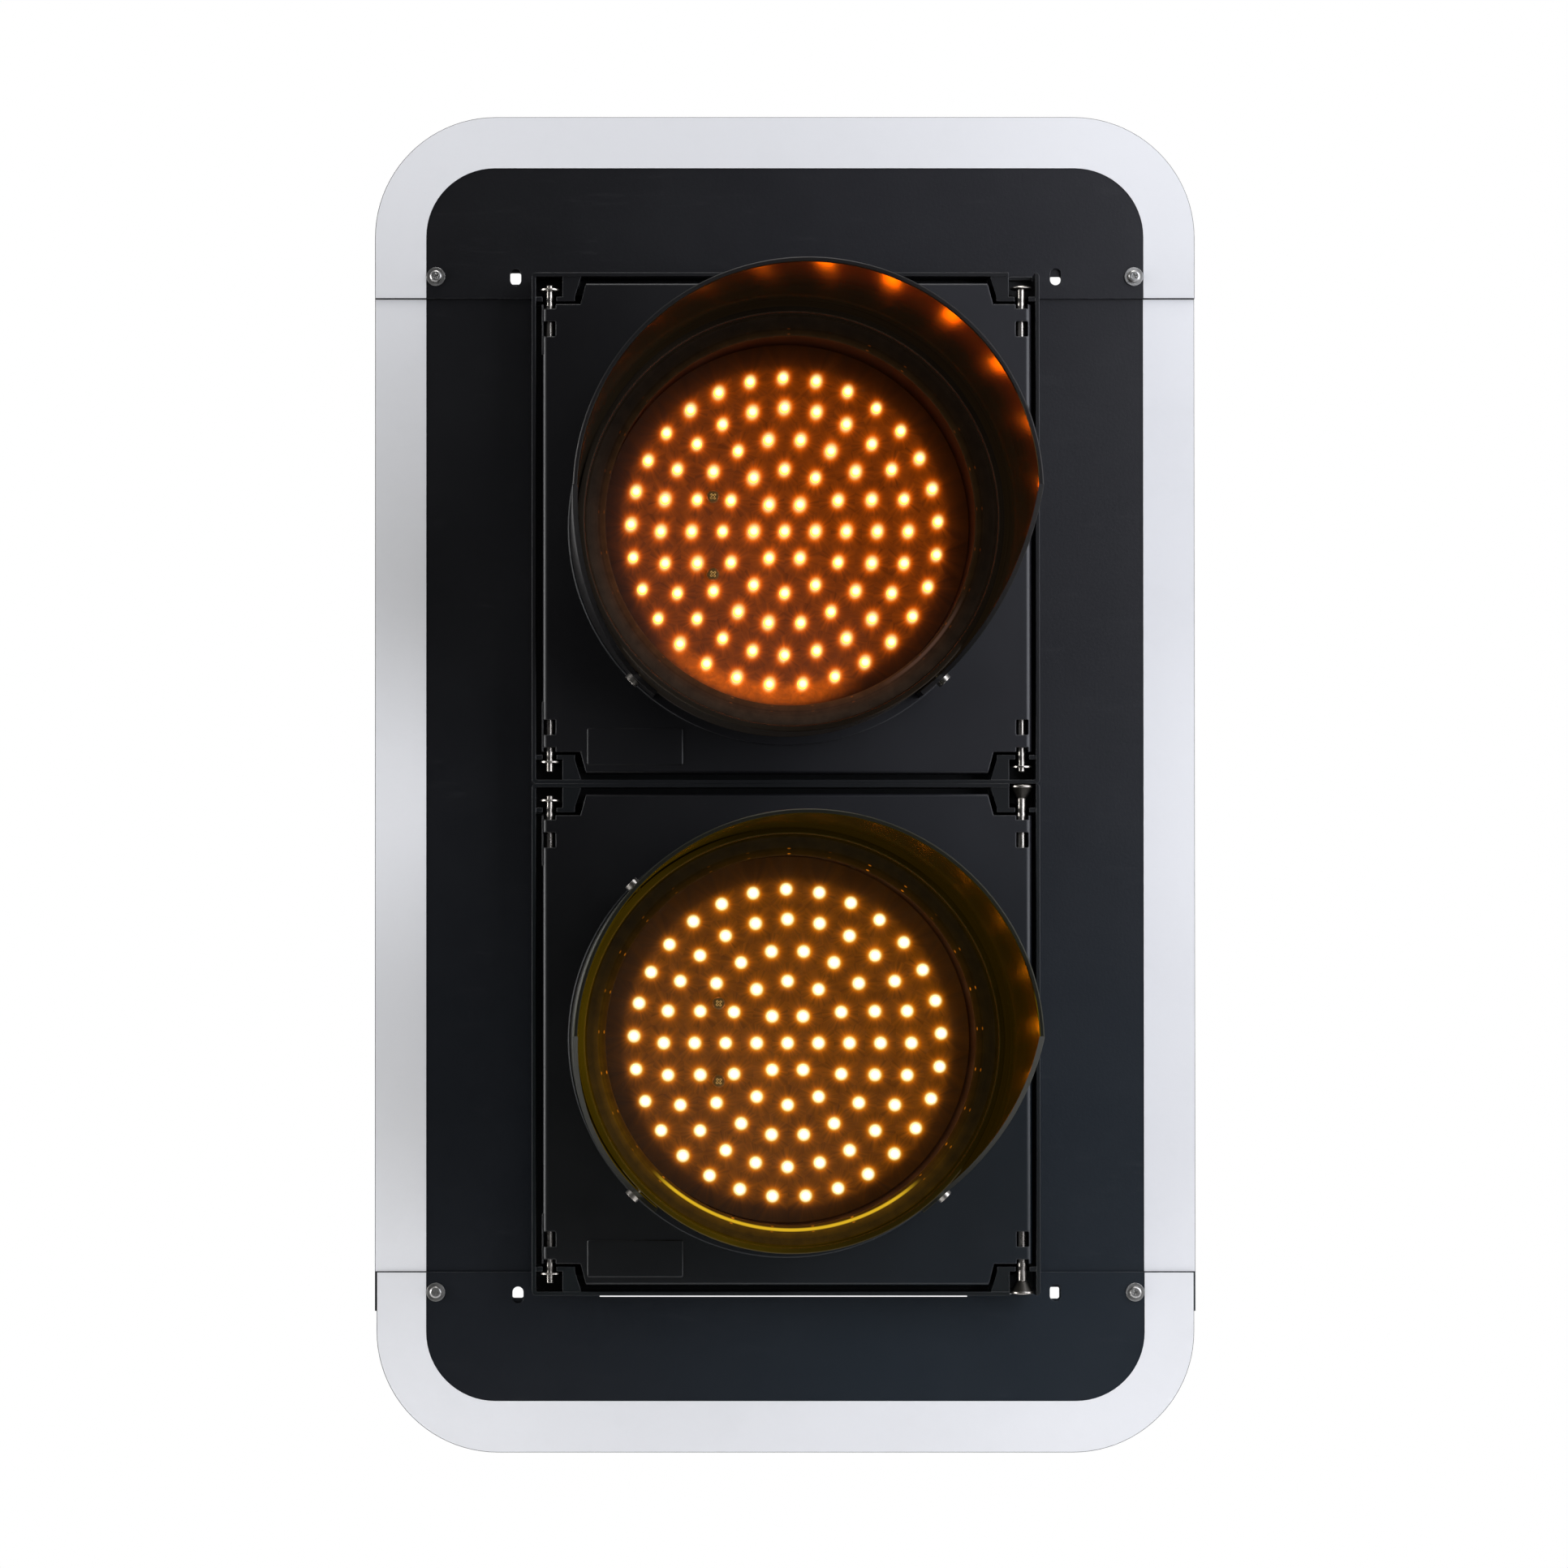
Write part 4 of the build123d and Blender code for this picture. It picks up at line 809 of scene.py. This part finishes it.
FILM_CLEAN = (0.750, 0.748, 0.757)
# painted side light for the doors: darker on the left, lighter on the right
DOOR_PAINTED_SIDE_LIGHT = (
    (0.0010, 0.0007, 0.0018),
    (0.0155, 0.0155, 0.0195),
    (0.0006, 0.0010, 0.0014),
    (0.0030, 0.0068, 0.0110),
)
MATS = {
    "housing": moulded("housing_plastic_", (0.0042, 0.0042, 0.0056), (0.0028, 0.0050, 0.0060), rough=0.36),
    "door_upper": moulded(
        "door_plastic_upper",
        (0.0042, 0.0042, 0.0058),
        rough=0.38,
        wear=0.35,
        grain=0.00002,
        radius=0.0008,
        lamp="upper",
        painted_side_light=DOOR_PAINTED_SIDE_LIGHT,
        # collar: painted lamp light as a warm colour and dimmed, warm reflections, with a painted glow
        ring=((0.0030, 0.0020, 0.0012), (0.40, 0.28, 0.18)),
        wash=((0.0042, 0.0029, 0.0018), (0.0080, 0.0064, 0.0050)),
    ),
    "door_lower": moulded(
        "door_plastic_lower",
        (0.0042, 0.0042, 0.0058),
        rough=0.38,
        wear=0.35,
        grain=0.00002,
        radius=0.0008,
        lamp="lower",
        painted_side_light=DOOR_PAINTED_SIDE_LIGHT,
        # collar: painted lamp light as a warm colour and dimmed, warm reflections, with a painted glow
        ring=((0.0060, 0.0040, 0.0004), (0.40, 0.28, 0.03)),
        wash=((0.0070, 0.0040, 0.0002), (0.0330, 0.0200, 0.0004)),
    ),
    "visor_upper": moulded(
        "visor_upper_",
        (0.0045, 0.0042, 0.0046),
        rough=0.10,
        spread=0.03,
        grain_scale=700.0,
        grain=0.000008,
        wear=0.4,
        lamp="upper",
        # inside: painted lamp light as a warm colour and warm reflections, with a painted glow
        inner=((0.0060, 0.0042, 0.0022), (1.0, 0.66, 0.06)),
        wash=((0.0042, 0.0028, 0.0016), (0.0034, 0.0026, 0.0018)),
        body_tint=(0.85, 0.80, 0.78),
    ),
    "visor_lower": moulded(
        "visor_lower_",
        (0.0056, 0.0054, 0.0040),
        rough=0.11,
        spread=0.03,
        grain_scale=700.0,
        grain=0.000008,
        wear=0.5,
        wear_colour=(0.09, 0.078, 0.02),
        lamp="lower",
        # inside: painted lamp light as a warm colour and warm reflections, with a painted glow
        inner=((0.016, 0.011, 0.0006), (1.0, 0.76, 0.05)),
        body_tint=(0.80, 0.78, 0.60),
        wash=((0.0078, 0.0046, 0.0003), (0.0400, 0.0250, 0.0004)),
    ),
    "paint": sheet_paint("board_powder_coat"),
    # brightness marks up each strip: painted light and shade, lighter on the right and bottom, darker where the
    # visors' shadows fall on the left
    "film_top": border_film("film_top_", ((0.5, 1.0), (0.64, 1.02)), FILM_CLEAN),
    "film_bottom": border_film("film_bottom_", ((-0.10, 1.08), (0.02, 1.08)), FILM_CLEAN),
    "film_right": border_film(
        "film_right_", ((0.0, 1.10), (0.2, 1.13), (0.4, 1.11), (0.54, 1.08)), FILM_CLEAN
    ),
    "film_left": border_film(
        "film_left_",
        ((0.0, 1.15), (0.05, 1.14), (0.15, 1.0), (0.28, 1.15), (0.39, 1.04), (0.50, 1.02), (0.54, 1.04)),
        FILM_CLEAN,
    ),
    "stainless": metal("stainless_", (0.50, 0.465, 0.42), rough=0.27, stretch=(1.0, 1.0, 30.0), dull=0.40),
    # cone_pin and disc_pin: the darker band on the pin heads is painted shade
    "cone_pin": metal(
        "cone_pin_steel",
        (0.50, 0.465, 0.42),
        rough=0.27,
        stretch=(1.0, 1.0, 30.0),
        dull=0.40,
        head=(0.1375, 0.1297, 0.1355),
    ),
    "disc_pin": metal(
        "disc_pin_steel",
        (0.50, 0.465, 0.42),
        rough=0.27,
        stretch=(1.0, 1.0, 30.0),
        dull=0.40,
        head=(0.4125, 0.1287, 0.12925),
    ),
    "board_screw": metal(
        "lamp_screw_", (0.16, 0.10, 0.045), rough=0.42, stretch=(14.0, 30.0, 14.0), dull_colour=(0.05, 0.028, 0.010),
        lit=(0.78, 0.43, 0.12),
    ),
    "screw": metal("screw_steel", (0.55, 0.54, 0.52), rough=0.30, stretch=(14.0, 30.0, 14.0)),
    "zinc": zinc("zinc_plate"),
    "brass": metal("brass_", (0.72, 0.50, 0.22), rough=0.30, stretch=(10.0, 30.0, 10.0)),
    "rubber": rubber("sealing_rubber"),
    "bezel_upper": lit_bezel(
        "bezel_upper_",
        "upper",
        ((97.0, (0.0150, 0.0072, 0.0024)), (99.0, (0.0120, 0.0060, 0.0020)), (101.5, (0.0058, 0.0030, 0.0012)), (105.0, (0.0050, 0.0028, 0.0014)), (109.0, (0.0060, 0.0036, 0.0020))),
        ((97.0, (0.0560, 0.0190, 0.0060)), (99.0, (0.0440, 0.0160, 0.0058)), (101.5, (0.0280, 0.0120, 0.0060)), (105.0, (0.0250, 0.0140, 0.0085)), (109.0, (0.0140, 0.0095, 0.0065))),
        (0.10, 0.020, 0.001),
        (99.7, 132.0, 0.93, (0.075, 0.042, 0.034)),
    ),
    "bezel_lower": lit_bezel(
        "bezel_lower_",
        "lower",
        ((97.0, (0.0210, 0.0078, 0.0002)), (99.0, (0.0165, 0.0070, 0.0002)), (101.5, (0.0088, 0.0045, 0.0003)), (105.0, (0.0072, 0.0040, 0.0005)), (109.0, (0.0085, 0.0045, 0.0003))),
        ((97.0, (0.0560, 0.0185, 0.0002)), (99.0, (0.0480, 0.0180, 0.0002)), (101.5, (0.0600, 0.0260, 0.0004)), (105.0, (0.0280, 0.0135, 0.0004)), (109.0, (0.0290, 0.0140, 0.0003))),
        (0.55, 0.15, 0.004),
        (100.1, 182.0, 0.70, (0.68, 0.42, 0.016)),
    ),
    "shell": moulded("lamp_shell_", (0.0045, 0.0034, 0.0022), rough=0.72, spec=0.12, wear=0.2),
    "connector": moulded("connector_plastic", (0.42, 0.40, 0.34), rough=0.45, wear=0.1, scuffs=0.1),
    "terminal": moulded("terminal_plastic_", (0.30, 0.31, 0.30), rough=0.45, wear=0.1),
    "board": circuit_board("lamp_circuit_board"),
    "plate_upper": led_plate("led_plate_upper", "upper"),
    "plate_lower": led_plate("led_plate_lower", "lower"),
    "dome_upper": led_dome("led_dome_upper", "upper", 10.0),
    "dome_lower": led_dome("led_dome_lower", "lower", 10.0),
    "lens_upper": clear_lens("lens_upper_", (0.985, 0.975, 0.965)),
    "lens_lower": clear_lens("lens_lower_", (0.985, 0.980, 0.955)),
}

FINISH = {
    "board_top_cap": "paint",
    "board_bottom_cap": "paint",
    "board_left_panel": "paint",
    "board_right_panel": "paint",
    "border_film_top": "film_top",
    "border_film_bottom": "film_bottom",
    "border_film_left": "film_left",
    "border_film_right": "film_right",
    "board_screws": "screw",
    "board_washers": "screw",
    "board_nuts": "zinc",
    "board_brackets": "zinc",
    "bracket_screws": "zinc",
    "bracket_nuts": "zinc",
    "coupling_tube": "zinc",
    "coupling_seal": "rubber",
    "coupling_nuts": "zinc",
    "coupling_washers": "zinc",
    "terminal_block": "terminal",
    "terminal_screws": "brass",
    "housing": "housing",
    "door": "door_",
    "door_gasket": "rubber",
    "lamp_gasket": "rubber",
    "lamp_shell": "shell",
    "lamp_clamps": "zinc",
    "clamp_screws": "zinc",
    "led_board": "board",
    "led_holder": "plate_",
    "pcb_screws": "board_screw",
    "leds": "dome_",
    "lamp_connector": "connector",
    "lens": "lens_",
    "bezel": "bezel_",
    "visor": "visor_",
    "visor_screws": "stainless",
    "hinge_pins": "stainless",
    "pin_clips": "stainless",
    "keeper_pin": "stainless",
    "latch_pin": "disc_pin",
    "latch_pin_top": "cone_pin",
    "latch_pin_bottom": "cone_pin",
}
for name, obj in NODES.items():
    side, _, rest = name.partition("_")
    key = FINISH[rest] if side in LAMPS and rest in FINISH else FINISH[name]
    if key.endswith("_"):
        key += side
    for spot in obj.material_slots:
        spot.material = MATS[key]

# the studio
FLOOR_Z = -0.46


def panel(name, where, aim, size, power, colour=(1.0, 1.0, 1.0), tall=None):
    light = bpy.data.lights.new(name, "AREA")
    light.energy = power
    light.color = colour
    light.shape = "RECTANGLE"
    light.size = size
    light.size_y = tall or size
    obj = bpy.data.objects.new(name, light)
    obj.location = where
    obj.rotation_mode = "QUATERNION"
    obj.rotation_quaternion = (Vector(aim) - Vector(where)).to_track_quat("-Z", "Y")
    scene.collection.objects.link(obj)
    return obj


MIDDLE = (0.0, -0.06, 0.275)
panel("softbox_right", (0.98, -0.98, 0.70), MIDDLE, 0.8, 13.5, (0.92, 0.95, 1.04), 1.3)
panel("side_right", (2.35, -0.75, 0.4), MIDDLE, 0.9, 18.0, (0.96, 0.98, 1.03), 1.8)
panel("side_left", (-2.35, -0.9, 0.4), MIDDLE, 0.9, 47.0, (0.98, 0.99, 1.0), 1.8)
panel("overhead", (0.1, -0.6, 2.5), MIDDLE, 1.2, 22.0)
panel("rear", (0.9, 2.2, 1.5), MIDDLE, 1.4, 34.0)
panel("rear_left", (-1.9, 1.5, 0.8), MIDDLE, 1.1, 22.0)

world = bpy.data.worlds.new("studio")
world.use_nodes = True
world.node_tree.nodes.clear()
w = Net(world.node_tree)
direction = w.add("ShaderNodeTexCoord").outputs["Generated"]
axes = w.add("ShaderNodeSeparateXYZ", None, {"Vector": direction})
up = w.span(axes.outputs["Z"], 0.05, 0.9)
right = w.span(axes.outputs["X"], 0.0, 0.9)
ambient = w.math("MULTIPLY_ADD", up, 0.22, w.math("MULTIPLY_ADD", right, 0.12, 0.025))
shade = w.vmath("SCALE", (0.97, 0.985, 1.02), scale=ambient)
seen = w.add("ShaderNodeLightPath").outputs["Is Camera Ray"]
lit = w.add("ShaderNodeBackground", None, {"Color": shade, "Strength": 1.0})
white = w.add("ShaderNodeBackground", None, {"Color": (1.0, 1.0, 1.0), "Strength": 1.0})
both = w.add("ShaderNodeMixShader", None, {0: seen, 1: lit.outputs[0], 2: white.outputs[0]})
out = w.add("ShaderNodeOutputWorld")
world.node_tree.links.new(both.outputs[0], out.inputs["Surface"])
scene.world = world

floor_mesh = bpy.data.meshes.new("studio_floor")
ROUND = [
    (1.45 * math.cos(math.radians(a)), 0.15 + 1.45 * math.sin(math.radians(a)), FLOOR_Z)
    for a in range(0, 360, 3)
]
floor_mesh.from_pydata(ROUND, [], [tuple(range(len(ROUND)))])
floor = bpy.data.objects.new("studio_floor", floor_mesh)
scene.collection.objects.link(floor)
mat, n = material("floor_paper")
n.finish(
    n.add(
        "ShaderNodeBsdfPrincipled",
        None,
        {
            "Base Color": n.mix(n.noise(n.point(), 3.0, 4.0), (0.80, 0.80, 0.80), (0.84, 0.84, 0.84)),
            "Roughness": n.math("MULTIPLY_ADD", n.noise(n.point(), 8.0), 0.1, 0.75),
        },
    ).outputs[0]
)
floor_mesh.materials.append(mat)

# the camera
camera = bpy.data.cameras.new("camera")
camera.sensor_width = 36.0
camera.lens = 98.3
camera.shift_x = 0.180
camera.shift_y = 0.0999
camera.clip_start, camera.clip_end = 0.05, 60.0
eye = bpy.data.objects.new("camera", camera)
eye.location = (-0.1527, -2.364, 0.1705)
eye.rotation_euler = (math.radians(90.5), 0.0, 0.0)
scene.collection.objects.link(eye)
scene.camera = eye
